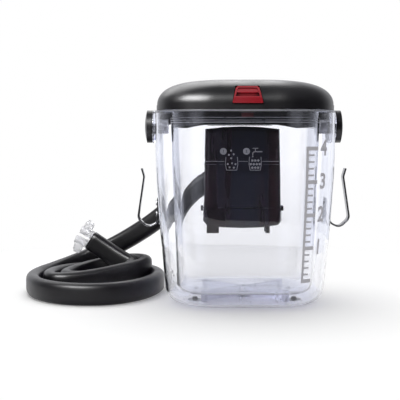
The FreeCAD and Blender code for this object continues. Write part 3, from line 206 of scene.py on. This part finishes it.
class Nodes:
    """A short way to write a node tree of a material or the world."""

    def __init__(self, name, world=False):
        owner = bpy.data.worlds.new(name) if world else bpy.data.materials.new(name)
        owner.use_nodes = True
        self.owner, self.tree = owner, owner.node_tree
        self.tree.nodes.clear()
        self.output = self.add("ShaderNodeOutputWorld" if world else "ShaderNodeOutputMaterial")

    def add(self, kind, **settings):
        """A node with its properties set."""
        node = self.tree.nodes.new(kind)
        for name, value in settings.items():
            setattr(node, name, value)
        return node

    def put(self, socket, value):
        """Sets a socket, or links it where the value is itself a socket."""
        if isinstance(value, bpy.types.NodeSocket):
            self.tree.links.new(value, socket)
        elif socket.type == "RGBA":
            socket.default_value = (*value, 1.0)
        else:
            socket.default_value = value

    def feed(self, node, **inputs):
        """Sets or links inputs, named in lower case with underscores."""
        names = {socket.name.lower().replace(" ", "_"): socket for socket in reversed(node.inputs)}
        for name, value in inputs.items():
            self.put(names[name], value)
        return node

    def coordinate(self, kind="Object"):
        """A point's place, or with Generated, the direction in which the world is seen."""
        return self.add("ShaderNodeTexCoord").outputs[kind]

    def noise(self, scale, detail=3.0, roughness=0.5, stretch=None):
        """Soft random spots, finer as the scale goes up."""
        where = self.coordinate()
        if stretch:
            mapping = self.feed(self.add("ShaderNodeMapping"), vector=where, scale=stretch)
            where = mapping.outputs[0]
        node = self.add("ShaderNodeTexNoise")
        self.feed(node, vector=where, scale=scale, detail=detail, roughness=roughness)
        return node.outputs[0]

    def between(self, value, low, high, from_low=0.35, from_high=0.65):
        """A value carried from one range to another and held at its ends."""
        node = self.add("ShaderNodeMapRange")
        self.feed(node, value=value, from_min=from_low, from_max=from_high,
                  to_min=low, to_max=high)
        return node.outputs[0]

    def tint(self, value, dark, light):
        """A colour between two others."""
        node = self.add("ShaderNodeMix", data_type="RGBA")
        factor, first, second = node.inputs[0], node.inputs[6], node.inputs[7]
        self.put(factor, value)
        self.put(first, dark)
        self.put(second, light)
        return node.outputs[2]

    def bump(self, height, strength, distance):
        """A surface direction for small reliefs."""
        node = self.add("ShaderNodeBump")
        self.feed(node, height=height, strength=strength, distance=distance)
        return node.outputs[0]

    def combined(self, operation, first, second):
        """One value worked out from two."""
        node = self.add("ShaderNodeMath", operation=operation)
        self.put(node.inputs[0], first)
        self.put(node.inputs[1], second)
        return node.outputs[0]

    def seen_by(self, *kinds):
        """One for rays of these kinds, such as Camera or Glossy, and zero for other rays."""
        path = self.add("ShaderNodeLightPath")
        total = path.outputs[f"Is {kinds[0]} Ray"]
        for kind in kinds[1:]:
            total = self.combined("MAXIMUM", total, path.outputs[f"Is {kind} Ray"])
        return total

    def straight_through(self):
        """One for rays that came through clear plastic and were not reflected on their way."""
        path = self.add("ShaderNodeLightPath")
        unreflected = self.between(path.outputs["Glossy Depth"], 1.0, 0.0,
                                   from_low=0.0, from_high=1.0)
        return self.combined("MULTIPLY", path.outputs["Is Transmission Ray"], unreflected)

    def blended(self, share, first, second):
        """The first shader, and the second by its share."""
        mix = self.add("ShaderNodeMixShader")
        self.put(mix.inputs[0], share)
        self.put(mix.inputs[1], first)
        self.put(mix.inputs[2], second)
        return mix.outputs[0]

    def glow(self, strength):
        """White light that the surface gives off itself."""
        node = self.add("ShaderNodeEmission")
        return self.feed(node, color=WHITE, strength=strength).outputs[0]

    def background(self, colour, strength):
        """Light of the world."""
        node = self.add("ShaderNodeBackground")
        return self.feed(node, color=colour, strength=strength).outputs[0]

    def finish(self, shader):
        """Gives the shader to the surface, and the material or world that is now complete."""
        self.tree.links.new(shader, self.output.inputs["Surface"])
        return self.owner


def plastic(name, dark, light, roughness, grain, bump, coat=0.0, gloss_and_painted_sheen_streaks=None, painted_hollow_shade=None):
    """Moulded plastic: a fine grain, a faint cloudiness or upright stripes of colour that are a
    painted sheen reflection, and uneven gloss. Recesses may get painted shade: a darker colour."""
    nodes = Nodes(name)
    fine = nodes.noise(grain, detail=2.0)
    # Given a stretch, the colour runs in upright stripes between its two tones, a painted sheen
    # reflection; the gloss varies with them too.
    broad = nodes.noise(35.0, detail=4.0, stretch=gloss_and_painted_sheen_streaks)
    if gloss_and_painted_sheen_streaks:
        broad = nodes.between(broad, 0.0, 1.0, from_low=0.40, from_high=0.60)
    colour = nodes.tint(broad, dark, light)
    # Painted shade: recesses that ambient occlusion finds closed in turn to a darker colour.
    if painted_hollow_shade:
        depth = nodes.feed(nodes.add("ShaderNodeAmbientOcclusion", samples=16), distance=6 * MM)
        hollow = nodes.between(depth.outputs["AO"], 1.0, 0.0, from_low=0.32, from_high=0.56)
        colour = nodes.tint(hollow, colour, painted_hollow_shade)
    shader = nodes.add("ShaderNodeBsdfPrincipled")
    nodes.feed(shader, base_color=colour, roughness=nodes.between(broad, *roughness),
               normal=nodes.bump(fine, strength=bump, distance=0.05 * MM),
               coat_weight=coat, coat_roughness=0.08)
    return nodes.finish(shader.outputs[0])


def metal(name, colour, roughness, brushed=None):
    """Steel or bronze, with fine drawing lines where it is stretched one way."""
    nodes = Nodes(name)
    lines = nodes.noise(900.0, detail=2.0, roughness=0.6, stretch=brushed)
    broad = nodes.noise(60.0)
    shader = nodes.add("ShaderNodeBsdfPrincipled")
    nodes.feed(shader, base_color=colour, metallic=1.0, roughness=nodes.between(broad, *roughness),
               normal=nodes.bump(lines, strength=0.25, distance=0.03 * MM))
    return nodes.finish(shader.outputs[0])


def clear_plastic(name, colour, roughness, waves):
    """Clear moulded plastic of real thickness, with upright flow waves. Light on its way to other
    surfaces goes straight through, a little weaker."""
    nodes = Nodes(name)
    flow = nodes.noise(26.0, detail=2.0, stretch=(1.0, 1.0, 0.08))
    fine = nodes.noise(120.0, detail=2.0)
    shader = nodes.add("ShaderNodeBsdfPrincipled")
    nodes.feed(shader, base_color=colour, transmission_weight=1.0, ior=1.49,
               roughness=nodes.between(fine, *roughness), specular_ior_level=0.25,
               normal=nodes.bump(flow, strength=waves, distance=2 * MM))
    through = nodes.feed(nodes.add("ShaderNodeBsdfTransparent"), color=(0.945, 0.945, 0.97))
    deep = nodes.add("ShaderNodeVolumeAbsorption")
    nodes.feed(deep, color=(0.78, 0.80, 0.92), density=24.0)
    nodes.tree.links.new(deep.outputs[0], nodes.output.inputs["Volume"])
    return nodes.finish(nodes.blended(nodes.seen_by("Shadow", "Diffuse"), shader.outputs[0],
                                      through.outputs[0]))


def milky_plastic(name, colour, clear, roughness):
    """Natural, slightly see-through plastic."""
    nodes = Nodes(name)
    broad = nodes.noise(90.0)
    fine = nodes.noise(600.0, detail=2.0)
    shader = nodes.add("ShaderNodeBsdfPrincipled")
    nodes.feed(shader, base_color=colour, transmission_weight=clear, ior=1.46,
               roughness=nodes.between(broad, *roughness),
               normal=nodes.bump(fine, strength=0.1, distance=0.04 * MM))
    return nodes.finish(shader.outputs[0])


def jacket(name):
    """The hose's foamed rubber jacket: a fine pebbled skin with a soft sheen."""
    nodes = Nodes(name)
    pebbles = nodes.noise(1500.0, roughness=0.6)
    broad = nodes.noise(22.0, detail=4.0)
    shader = nodes.add("ShaderNodeBsdfPrincipled")
    nodes.feed(shader, base_color=nodes.tint(broad, (0.005, 0.004, 0.007), (0.009, 0.008, 0.012)),
               roughness=nodes.between(broad, 0.32, 0.42), specular_ior_level=0.3,
               normal=nodes.bump(pebbles, strength=0.3, distance=0.07 * MM),
               sheen_weight=0.02, sheen_roughness=0.35, sheen_tint=(0.75, 0.65, 1.0))
    return nodes.finish(shader.outputs[0])


def ridged_rubber(name, dark, light):
    """Soft grip rubber with fine ridges round it and a powdery sheen."""
    nodes = Nodes(name)
    ridges = nodes.add("ShaderNodeTexWave", wave_type="BANDS", bands_direction="X",
                       wave_profile="SIN")
    nodes.feed(ridges, vector=nodes.coordinate(), scale=52.0, distortion=0.0)
    broad, fine = nodes.noise(40.0), nodes.noise(1400.0, detail=2.0)
    grain_share = 0.12
    grain = nodes.combined("MULTIPLY", fine, grain_share)
    relief = nodes.combined("ADD", grain, ridges.outputs["Fac"])
    shader = nodes.add("ShaderNodeBsdfPrincipled")
    nodes.feed(shader, base_color=nodes.tint(broad, dark, light),
               roughness=nodes.between(broad, 0.6, 0.75), sheen_weight=0.15, sheen_roughness=0.5,
               normal=nodes.bump(relief, strength=0.8, distance=0.9 * MM))
    return nodes.finish(shader.outputs[0])


def printed(name, colour):
    """Matt ink with fine specks."""
    nodes = Nodes(name)
    specks = nodes.noise(2500.0, detail=2.0)
    faded = [0.85 * part for part in colour]
    shader = nodes.add("ShaderNodeBsdfPrincipled")
    nodes.feed(shader, base_color=nodes.tint(specks, faded, colour),
               roughness=nodes.between(specks, 0.45, 0.6))
    return nodes.finish(shader.outputs[0])


FINISHES = {
    "clear_plastic": clear_plastic("clear_plastic", (0.993, 0.994, 1.0), (0.0, 0.012), 0.12),
    "frosted_plastic": milky_plastic("frosted_plastic", (0.82, 0.83, 0.90), 0.7, (0.25, 0.4)),
    "satin_black": plastic("satin_black", (0.005, 0.004, 0.007), (0.009, 0.008, 0.012),
                           (0.30, 0.38), 1400.0, 0.18),
    "grip_black": ridged_rubber("grip_black", (0.012, 0.012, 0.013), (0.02, 0.02, 0.021)),
    "grey_plastic": plastic("grey_plastic", (0.009, 0.009, 0.013), (0.015, 0.015, 0.020),
                            (0.35, 0.5), 1100.0, 0.2),
    # The red's recesses get painted shade, a dark red.
    "red_plastic": plastic("red_plastic", (0.42, 0.006, 0.018), (0.50, 0.012, 0.028),
                           (0.16, 0.24), 1500.0, 0.06, coat=0.9, painted_hollow_shade=(0.07, 0.001, 0.005)),
    # The black's reddish and bluish upright stripes are a painted sheen reflection.
    "black_plastic": plastic("black_plastic", (0.024, 0.005, 0.009), (0.004, 0.005, 0.018),
                             (0.2, 0.28), 1500.0, 0.08, gloss_and_painted_sheen_streaks=(1.0, 1.0, 0.1)),
    "hose_black": jacket("hose_black"),
    "milky_plastic": milky_plastic("milky_plastic", (0.97, 0.97, 0.98), 0.5, (0.45, 0.6)),
    "steel": metal("steel", (0.62, 0.62, 0.64), (0.16, 0.28), (1.0, 1.0, 0.05)),
    "dark_steel": metal("dark_steel", (0.13, 0.13, 0.14), (0.12, 0.2), (1.0, 0.05, 1.0)),
    "motor_steel": metal("motor_steel", (0.5, 0.5, 0.52), (0.3, 0.4), (1.0, 1.0, 0.1)),
    "bronze": metal("bronze", (0.6, 0.42, 0.22), (0.3, 0.4)),
    "rubber": plastic("rubber", (0.015, 0.015, 0.015), (0.025, 0.025, 0.025), (0.7, 0.85),
                      700.0, 0.5),
    "foam": plastic("foam", (0.75, 0.75, 0.72), (0.85, 0.85, 0.82), (0.85, 0.95), 500.0, 0.8),
    "board_green": plastic("board_green", (0.02, 0.12, 0.05), (0.03, 0.16, 0.07), (0.3, 0.4),
                           300.0, 0.1),
    "wire_grey": plastic("wire_grey", (0.05, 0.05, 0.055), (0.08, 0.08, 0.085), (0.5, 0.6),
                         700.0, 0.3),
}
# A darker copy of the red plastic: painted shade for the latch's hook behind the rim.
HOOK_RED_PAINTED_SHADE = plastic("hook_red", (0.045, 0.002, 0.005), (0.06, 0.003, 0.007), (0.35, 0.45),
                   1500.0, 0.1)
PRINT_GREY = printed("print_grey", (0.55, 0.55, 0.58))
PRINT_DARK = printed("print_dark", (0.20, 0.20, 0.22))
PRINT_SCALE = printed("print_scale", (0.62, 0.61, 0.65))


def finish_cad_nodes():
    """Every solid of the frame gets its slot's finish. The latch's hook, which lies in the shade
    behind the rim, has a darker copy of the red instead: painted shade."""
    slots = {part["node"]: part["material_slot"] for part in frame["record"]["subparts"]}
    for name, node in frame["nodes"].items():
        material = FINISHES[slots[name]]
        node.data.materials.clear()
        # The latch's hook gets the red with painted shade.
        node.data.materials.append(HOOK_RED_PAINTED_SHADE if name == "latch_hook" else material)
        for face in node.data.polygons:
            face.material_index = 0


finish_cad_nodes()


# ---------------------------------------------------------------- hose

HOSE_RUN = [(-22, 126, 160), (-60, 137.4, 140), (-116, 155, 89), (-172, 177, 52.5), (-224, 184, 28)]
HOSE_COIL = [(-265, 152, 15), (-280, 100, 14), (-281, 45, 14), (-262, -14, 14), (-222, -52, 14),
             (-170, -55, 14), (-134, -20, 14), (-115, 32, 14), (-111, 82, 14), (-126, 130, 14),
             (-163, 160, 14), (-205, 167, 14), (-240, 145, 14), (-259, 105, 14), (-262, 65, 14),
             (-247, 38, 14), (-210, 44, 16), (-170, 62, 22), (-140, 78, 27), (-128, 102, 30),
             (-142, 130, 30), (-172, 142, 27), (-205, 146, 20), (-232, 118, 15), (-241, 80, 14),
             (-230, 58, 14), (-205, 64, 14), (-180, 78, 16), (-158, 88, 20)]
HOSE_TAIL = [(-148, 114, 26), (-166, 119, 34), (-188, 125, 47.5), (-210, 129, 62)]
HOSE_HALF_THICKNESS, HOSE_HALF_WIDTH, HOSE_CORNER, HOSE_BULGE = 8.7, 13.8, 7.2, 0.2
HOSE_LIP, HOSE_MOUTH = 2.2, 6.0


def hose():
    """The flat twin-tube hose, standing on its edge: run, inward coil and free end."""
    route = [Vector(point) * MM for point in HOSE_RUN + HOSE_COIL + HOSE_TAIL]
    line = spline_points(route)
    section = rounded_section(HOSE_HALF_THICKNESS * MM, HOSE_HALF_WIDTH * MM, HOSE_CORNER * MM,
                              HOSE_BULGE * MM)
    mouth = (HOSE_LIP * MM, HOSE_MOUTH * MM)
    piece = add_piece("hose", tube_mesh(upright_frames(line), section, mouth),
                      FINISHES["hose_black"])
    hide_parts("hose_run", "hose_coil", "hose_tail")


hose()


# ---------------------------------------------------------------- prints

class Print:
    """Flat ink shapes, drawn in millimetres and then laid on a surface."""

    TEXT_SIZE = 1.4  # the font's size for digits one high

    def __init__(self):
        self.points, self.faces = [], []

    def shape(self, corners):
        """A filled outline."""
        first = len(self.points)
        self.points += corners
        self.faces.append(tuple(range(first, first + len(corners))))

    def bar(self, low_x, high_x, low_z, high_z, step=2.5):
        """A rectangle in pieces short enough to follow a curved wall."""
        across = max(1, math.ceil((high_x - low_x) / step))
        upward = max(1, math.ceil((high_z - low_z) / (4 * step)))
        xs = [low_x + (high_x - low_x) * part / across for part in range(across + 1)]
        zs = [low_z + (high_z - low_z) * part / upward for part in range(upward + 1)]
        for left, right in zip(xs, xs[1:]):
            for low, high in zip(zs, zs[1:]):
                self.shape([(left, low), (right, low), (right, high), (left, high)])

    def line(self, points, width):
        """Straight strokes from point to point, with square ends."""
        for (x, z), (end_x, end_z) in zip(points, points[1:]):
            length = math.hypot(end_x - x, end_z - z)
            way_x, way_z = (end_x - x) / length * width / 2, (end_z - z) / length * width / 2
            self.shape([(x - way_x + way_z, z - way_z - way_x),
                        (end_x + way_x + way_z, end_z + way_z - way_x),
                        (end_x + way_x - way_z, end_z + way_z + way_x),
                        (x - way_x - way_z, z - way_z + way_x)])

    def disc(self, x, z, radius, sides=28):
        """A filled circle."""
        turns = [2 * math.pi * side / sides for side in range(sides)]
        self.shape([(x + radius * math.cos(turn), z + radius * math.sin(turn)) for turn in turns])

    def cube(self, x, z, size, degrees):
        """A small square for a piece of ice or a drop, turned by an angle."""
        turn = math.radians(degrees)
        arm = size / math.sqrt(2)
        self.shape([(x + arm * math.cos(turn + quarter * math.pi / 2),
                     z + arm * math.sin(turn + quarter * math.pi / 2)) for quarter in range(4)])

    def number(self, words, x, z, height, weight):
        """A plain number, its middle at x and z."""
        text = bpy.data.curves.new("number", "FONT")
        text.body, text.size = words, height * self.TEXT_SIZE
        text.align_x, text.align_y = "CENTER", "CENTER"
        text.offset = weight
        holder = bpy.data.objects.new("number", text)
        glyphs = bpy.data.meshes.new_from_object(holder)
        first = len(self.points)
        self.points += [(x + vertex.co.x, z + vertex.co.y) for vertex in glyphs.vertices]
        self.faces += [tuple(first + index for index in face.vertices) for face in glyphs.polygons]
        bpy.data.objects.remove(holder)
        bpy.data.curves.remove(text)
        bpy.data.meshes.remove(glyphs)

    def lay(self, name, surface, material):
        """The ink as a piece, its points moved on to a surface."""
        points = [surface(x, z) for x, z in self.points]
        add_piece(name, mesh_from(points, self.faces, smooth=False), material)


INK_RAISED, OVER_INK = 0.12, 0.22  # how far ink, and ink on ink, lies off the surface


def on_pump(raised):
    """The flat front of the pump housing, a little way in front of its face."""
    low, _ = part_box("pump_housing")
    return lambda x, z: Vector((x * MM, low[1] - raised * MM, z * MM))


STEP_MARKS = (("1", -25.0), ("2", 5.4))
STEP_HEIGHT, STEP_RADIUS, STEP_NUMBER = 189.2, 4.5, 3.4
BUCKET_MIDDLES, BUCKET_STROKE = (-14.0, 16.8), 0.75
BUCKET_SIDE = [(7.6, 181.6), (8.2, 171.8), (6.6, 164.6)]
FALLING_ICE = [(-14.9, 190.2, 60), (-17.6, 184.6, 20), (-11.4, 185.4, 75), (-14.6, 180.2, 45)]
ICE_IN_BUCKET = [(-19.0, 172.6, 15), (-13.6, 173.6, 70), (-9.0, 172.4, 30), (-16.8, 168.2, 50),
                 (-11.2, 167.8, 5)]
ICE_SIZE = 2.2
WATER_ROWS = [(177.2, 3), (172.4, 4), (167.8, 3)]
TAP_HANDLE = [(13.6, 193.2), (20.2, 193.2)]
TAP_STEM = [(16.9, 193.2), (16.9, 190.0)]
TAP_SPOUT = [(25.4, 188.8), (15.4, 188.8), (13.4, 186.9), (13.4, 184.8)]
TAP_STROKE, SPOUT_STROKE = 1.0, 1.5
DROP = (13.4, 182.4, 1.6, 45)
LEVEL_LINE = (176.1, [(-48.2, -24.0), (-4.6, 7.0), (26.6, 47.6)], 0.55)
LOW_LEVEL_LINE = (172.0, [(-48.2, -34.4), (-30.0, -26.0), (28.0, 47.4)], 0.4)


def bucket(ink, middle):
    """The outline of an open bucket."""
    left = [(middle - x, z) for x, z in BUCKET_SIDE]
    right = [(middle + x, z) for x, z in reversed(BUCKET_SIDE)]
    ink.line(left + right, BUCKET_STROKE)


def water(ink, middle):
    """Rows of turned squares that fill a bucket."""
    across, size, turn, more_turn = 3.9, 2.7, 35, 23
    for row, (z, count) in enumerate(WATER_ROWS):
        for number in range(count):
            x = middle + (number - (count - 1) / 2) * across
            ink.cube(x, z, size, turn + more_turn * (number + row))


def tap(ink):
    """A tap over the second bucket, and a drop."""
    ink.line(TAP_HANDLE, TAP_STROKE)
    ink.line(TAP_STEM, TAP_STROKE)
    ink.line(TAP_SPOUT, SPOUT_STROKE)
    ink.cube(*DROP)


def level(ink, height, stretches, width):
    """A broken level line."""
    for start, end in stretches:
        ink.line([(start, height), (end, height)], width)


def pump_print():
    """Plain filling pictograms, two steps with a number, ice or a tap, and a bucket. Two broken
    level lines cross them."""
    ink, numbers, faint = Print(), Print(), Print()
    for label, x in STEP_MARKS:
        ink.disc(x, STEP_HEIGHT, STEP_RADIUS)
        numbers.number(label, x, STEP_HEIGHT, STEP_NUMBER, weight=0.1)
    for x, z, turn in FALLING_ICE + ICE_IN_BUCKET:
        ink.cube(x, z, ICE_SIZE, turn)
    for middle in BUCKET_MIDDLES:
        bucket(ink, middle)
    water(ink, BUCKET_MIDDLES[1])
    tap(ink)
    level(ink, *LEVEL_LINE)
    level(faint, *LOW_LEVEL_LINE)
    ink.lay("pump_print", on_pump(INK_RAISED), PRINT_GREY)
    numbers.lay("pump_numbers", on_pump(OVER_INK), FINISHES["black_plastic"])
    faint.lay("pump_level_low", on_pump(INK_RAISED), PRINT_DARK)


PRINTED_CORNER = 66.0  # the radius of the tub's corner where the scale is printed
OUTSIDE = 0.2  # a start well outside the tub, in metres, to look for its surface from


def on_tub(raised):
    """The tub's outside, for a distance round from its front middle and a height."""
    shell = frame["nodes"]["outer_shell"].data
    tree = BVHTree.FromPolygons([vertex.co for vertex in shell.vertices],
                                [face.vertices for face in shell.polygons])
    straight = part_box("outer_shell")[1][0] / MM - PRINTED_CORNER

    def surface(around, z):
        angle = min(max((around - straight) / PRINTED_CORNER, 0.0), math.pi / 2)
        outward = Vector((math.sin(angle), -math.cos(angle), 0.0))
        middle = Vector((min(around, straight), -straight, z)) * MM
        hit, normal, _, _ = tree.ray_cast(middle + outward * OUTSIDE, -outward)
        return hit + normal * (raised * MM)

    return surface


def fill_scale():
    """A plain graduated scale with numbers up the tub's front right corner."""
    lowest, spacing, marks, parts = 36.0, 39.5, 4, 5
    left, spine_width, mark_end, part_end = 70.0, 3.6, 88.0, 82.0
    half_mark, half_part = 2.3, 1.1
    number_place, number_height, number_weight = 98.5, 18.0, 0.8
    ink = Print()
    for mark in range(marks + 1):
        level_height = lowest + mark * spacing
        ink.bar(left, mark_end, level_height - half_mark, level_height + half_mark)
        if mark:
            ink.number(str(mark), number_place, level_height, number_height, number_weight)
        if mark < marks:
            for part in range(1, parts):
                height = level_height + spacing * part / parts
                ink.bar(left + spine_width, part_end, height - half_part, height + half_part)
    highest = lowest + marks * spacing
    ink.bar(left, left + spine_width, lowest - half_mark, highest + half_mark, step=spine_width)
    ink.lay("fill_scale", on_tub(INK_RAISED), PRINT_SCALE)


pump_print()
fill_scale()


# ---------------------------------------------------------------- tub and lid details

def band(name, half, corner, profile, material, steps=12):
    """A strip round the tub. Its profile is given as height and distance out from a half width."""
    outline = []
    for quarter, signs in enumerate(((1, 1), (-1, 1), (-1, -1), (1, -1))):
        for step in range(steps + 1):
            angle = math.pi / 2 * (quarter + step / steps)
            way = Vector((math.cos(angle), math.sin(angle)))
            outline.append((Vector(signs) * (half - corner), way))
    count = len(outline)
    points = []
    for height, outward in profile:
        for middle, way in outline:
            x, y = middle + way * (corner + outward)
            points.append((x * MM, y * MM, height * MM))
    faces = [(row * count + index, row * count + (index + 1) % count,
              (row + 1) * count + (index + 1) % count, (row + 1) * count + index)
             for row in range(len(profile) - 1) for index in range(count)]
    add_piece(name, mesh_from(points, faces), FINISHES[material])


FLUSH = 0.02  # where a strip ends, just clear of the wall
RIM_CORNER = 70.0
RIM_PROFILE = [(-2.6, FLUSH), (-2.0, 0.14), (-0.9, 0.14), (-0.3, FLUSH)]


def rim_edge():
    """A thin pale frosted strip all round the reservoir's rim flange, under the lid: a painted
    highlight where the flange's edge catches light.
    """
    _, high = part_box("inner_tub")
    profile = [(high[2] / MM + below, outward) for below, outward in RIM_PROFILE]
    # The pale frosted finish stands for the light on the flange's edge: painted highlight.
    band("rim_edge", high[0] / MM, RIM_CORNER, profile, "frosted_plastic")


NECK_HALF, NECK_CORNER, NECK_TOP = 92.0, 51.7, 237.0
NECK_SLOPE = 0.038
NECK_RIBS, RIB_RAISED = [(230.7, 0.45), (227.6, 0.3), (225.0, 0.45)], 0.5


def neck_ribs():
    """Fine moulded beads round the reservoir's neck, given by their height and half their size."""
    for number, (height, size) in enumerate(NECK_RIBS):
        profile = [(height - size, FLUSH), (height - 0.5 * size, RIB_RAISED),
                   (height + 0.5 * size, RIB_RAISED), (height + size, FLUSH)]
        half = NECK_HALF - NECK_SLOPE * (NECK_TOP - height)
        band(f"neck_rib_{number + 1}", half, NECK_CORNER, profile, "frosted_plastic")


def latch_spring():
    """The coil spring behind the button."""
    travel, wire = 3.5, 0.35 * MM
    turns, steps, sides = 4, 20, 8
    low, high = (Vector(corner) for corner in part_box("latch_spring"))
    middle, length = (low + high) / 2, high.y - low.y
    radius, coiled = (high.x - low.x) / 2 - wire, high.y - low.y - 2 * wire
    rise = coiled / turns / (2 * math.pi * radius)
    frames = []
    for step in range(turns * steps + 1):
        angle = 2 * math.pi * step / steps
        outward = Vector((math.cos(angle), 0, math.sin(angle)))
        along = low.y + wire + coiled * step / (turns * steps)
        point = Vector((middle.x, along, middle.z)) + outward * radius
        way = Vector((-math.sin(angle), rise, math.cos(angle))).normalized()
        frames.append((point, way, outward, outward.cross(way).normalized()))
    around = [2 * math.pi * side / sides for side in range(sides)]
    section = [(wire * math.cos(angle), wire * math.sin(angle)) for angle in around]
    spring = add_piece("spring", tube_mesh(frames, section), FINISHES["steel"], "lid")
    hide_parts("latch_spring")
    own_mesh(spring)


def softened(node, width, segments=3, degrees=30):
    """Small round edges on a solid of the frame."""
    piece = frame["nodes"][node]
    bevel = piece.modifiers.new("edges", "BEVEL")
    bevel.width, bevel.segments = width * MM, segments
    bevel.limit_method, bevel.angle_limit = "ANGLE", math.radians(degrees)
    bevel.harden_normals = True
    for face in piece.data.polygons:
        face.use_smooth = True


rim_edge()
neck_ribs()
latch_spring()
softened("latch_button", 0.7)


# ---------------------------------------------------------------- stage and light

FLOOR_MIDDLE = Vector((-0.08, 0.04, 0))
FLOOR_RADIUS, FLOOR_SIDES = 0.62, 120
FADE_START, FADE_END = 0.6 * FLOOR_RADIUS, 0.97 * FLOOR_RADIUS  # the rim turns white between
DIM_BEFORE, PALE_BEHIND = -0.22, -0.12  # the floor's front, from full to none
FLOOR_GLOW, FRONT_GLOW = 0.2, 0.04


def floor_paper():
    """Pale paper that keeps the object's shadow. Its rim is as white as the world, and its front
    is dim in what clear plastic reflects within itself, as the room in front is."""
    nodes = Nodes("floor")
    paper = nodes.add("ShaderNodeBsdfDiffuse")
    broad = nodes.noise(3.0, detail=2.0)
    nodes.feed(paper, color=nodes.tint(broad, (0.93, 0.93, 0.93), (0.94, 0.94, 0.94)))
    seen = nodes.seen_by("Camera", "Glossy", "Transmission")
    glow = nodes.glow(nodes.between(seen, 0.0, FLOOR_GLOW, from_low=0.0, from_high=1.0))
    lit = nodes.add("ShaderNodeAddShader")
    nodes.put(lit.inputs[0], paper.outputs[0])
    nodes.put(lit.inputs[1], glow)

    away = nodes.add("ShaderNodeVectorMath", operation="DISTANCE")
    nodes.put(away.inputs[0], nodes.coordinate())
    nodes.put(away.inputs[1], FLOOR_MIDDLE)
    rim = nodes.between(away.outputs["Value"], 0.0, 1.0, from_low=FADE_START, from_high=FADE_END)
    in_view = nodes.combined("MAXIMUM", nodes.seen_by("Camera"), nodes.straight_through())
    rim_share = nodes.combined("MULTIPLY", rim, in_view)
    rimmed = nodes.blended(rim_share, lit.outputs[0], nodes.glow(1.0))

    place = nodes.feed(nodes.add("ShaderNodeSeparateXYZ"), vector=nodes.coordinate())
    front = nodes.between(place.outputs["Y"], 1.0, 0.0, from_low=DIM_BEFORE, from_high=PALE_BEHIND)
    reflected = nodes.combined("SUBTRACT", nodes.seen_by("Transmission"), nodes.straight_through())
    front_share = nodes.combined("MULTIPLY", reflected, front)
    return nodes.finish(nodes.blended(front_share, rimmed, nodes.glow(FRONT_GLOW)))


def stage():
    """The round floor under the object."""
    turns = [2 * math.pi * side / FLOOR_SIDES for side in range(FLOOR_SIDES)]
    ways = [Vector((math.cos(turn), math.sin(turn), 0)) for turn in turns]
    rim = [FLOOR_MIDDLE + way * FLOOR_RADIUS for way in ways]
    disc = mesh_from(rim, [tuple(range(FLOOR_SIDES))], smooth=False)
    floor = add_piece("floor", disc, floor_paper(), body=None)


def world():
    """White where it is seen, also through clear plastic. Gloss shows a white wall behind and a
    dim room in front. What clear plastic reflects within itself shows light panels in the room's
    corners and the wall behind. High up, the world seen through clear plastic is lavender."""
    nodes = Nodes("world", world=True)
    way = nodes.feed(nodes.add("ShaderNodeSeparateXYZ"), vector=nodes.coordinate("Generated"))
    aside, back, up = way.outputs

    wall = nodes.combined("MULTIPLY", nodes.between(back, 0.0, 1.0, from_low=0.15, from_high=0.75),
                          nodes.between(up, 1.0, 0.0, from_low=0.35, from_high=0.8))
    ceiling = nodes.between(up, 0.06, 0.30, from_low=0.3, from_high=0.95)
    in_gloss = nodes.background((0.96, 0.97, 1.0), nodes.combined("MAXIMUM", wall, ceiling))

    corner = nodes.add("ShaderNodeMath", operation="ABSOLUTE")
    nodes.put(corner.inputs[0], nodes.combined("MULTIPLY", aside, back))
    panels = nodes.between(corner.outputs[0], 0.0, 0.8, from_low=0.3, from_high=0.48)
    behind = nodes.between(back, 0.04, 1.0, from_low=-0.1, from_high=0.35)
    in_plastic = nodes.background((0.86, 0.89, 1.0), nodes.combined("MAXIMUM", panels, behind))

    high = nodes.between(up, 0.0, 1.0, from_low=0.25, from_high=0.7)
    brightness = nodes.between(up, 1.1, 1.38, from_low=-0.12, from_high=-0.02)
    through_plastic = nodes.background(nodes.tint(high, WHITE, LAVENDER), brightness)

    brightness = nodes.between(nodes.seen_by("Camera"), 0.5, 1.0, from_low=0.0, from_high=1.0)
    plain = nodes.background(WHITE, brightness)
    seen = nodes.blended(nodes.seen_by("Glossy"), plain, in_gloss)
    seen = nodes.blended(nodes.seen_by("Transmission"), seen, in_plastic)
    seen = nodes.blended(nodes.straight_through(), seen, through_plastic)
    bpy.context.scene.world = nodes.finish(seen)


LID_MIDDLE = Vector((0, 0, 0.25))


def gloss_panel(name, place, size, power):
    """A light panel, turned to the lid, that only glossy surfaces show."""
    data = bpy.data.lights.new(name, "AREA")
    data.shape = "RECTANGLE"
    data.size, data.size_y = size
    data.energy = power
    light = bpy.data.objects.new(name, data)
    light.location = place
    light.rotation_euler = (LID_MIDDLE - Vector(place)).to_track_quat("-Z", "Y").to_euler()
    light.visible_diffuse = light.visible_transmission = light.visible_camera = False
    bpy.context.scene.collection.objects.link(light)


def sun(name, towards, strength, spread):
    """A soft light from one side. Its spread is an angle in degrees, and gloss doesn't show it."""
    data = bpy.data.lights.new(name, "SUN")
    data.energy = strength
    data.angle = math.radians(spread)
    light = bpy.data.objects.new(name, data)
    light.rotation_euler = Vector(towards).to_track_quat("-Z", "Y").to_euler()
    light.visible_glossy = False
    bpy.context.scene.collection.objects.link(light)


stage()
world()
sun("key", (0.04, -0.33, -1.0), 1.4, 56)
gloss_panel("strip_above", (-0.45, 1.1, 1.35), (1.7, 1.0), 13.0)
gloss_panel("softbox_left", (-0.9, -1.0, 1.2), (1.4, 0.75), 95.0)
bpy.context.scene.view_settings.view_transform = "Standard"
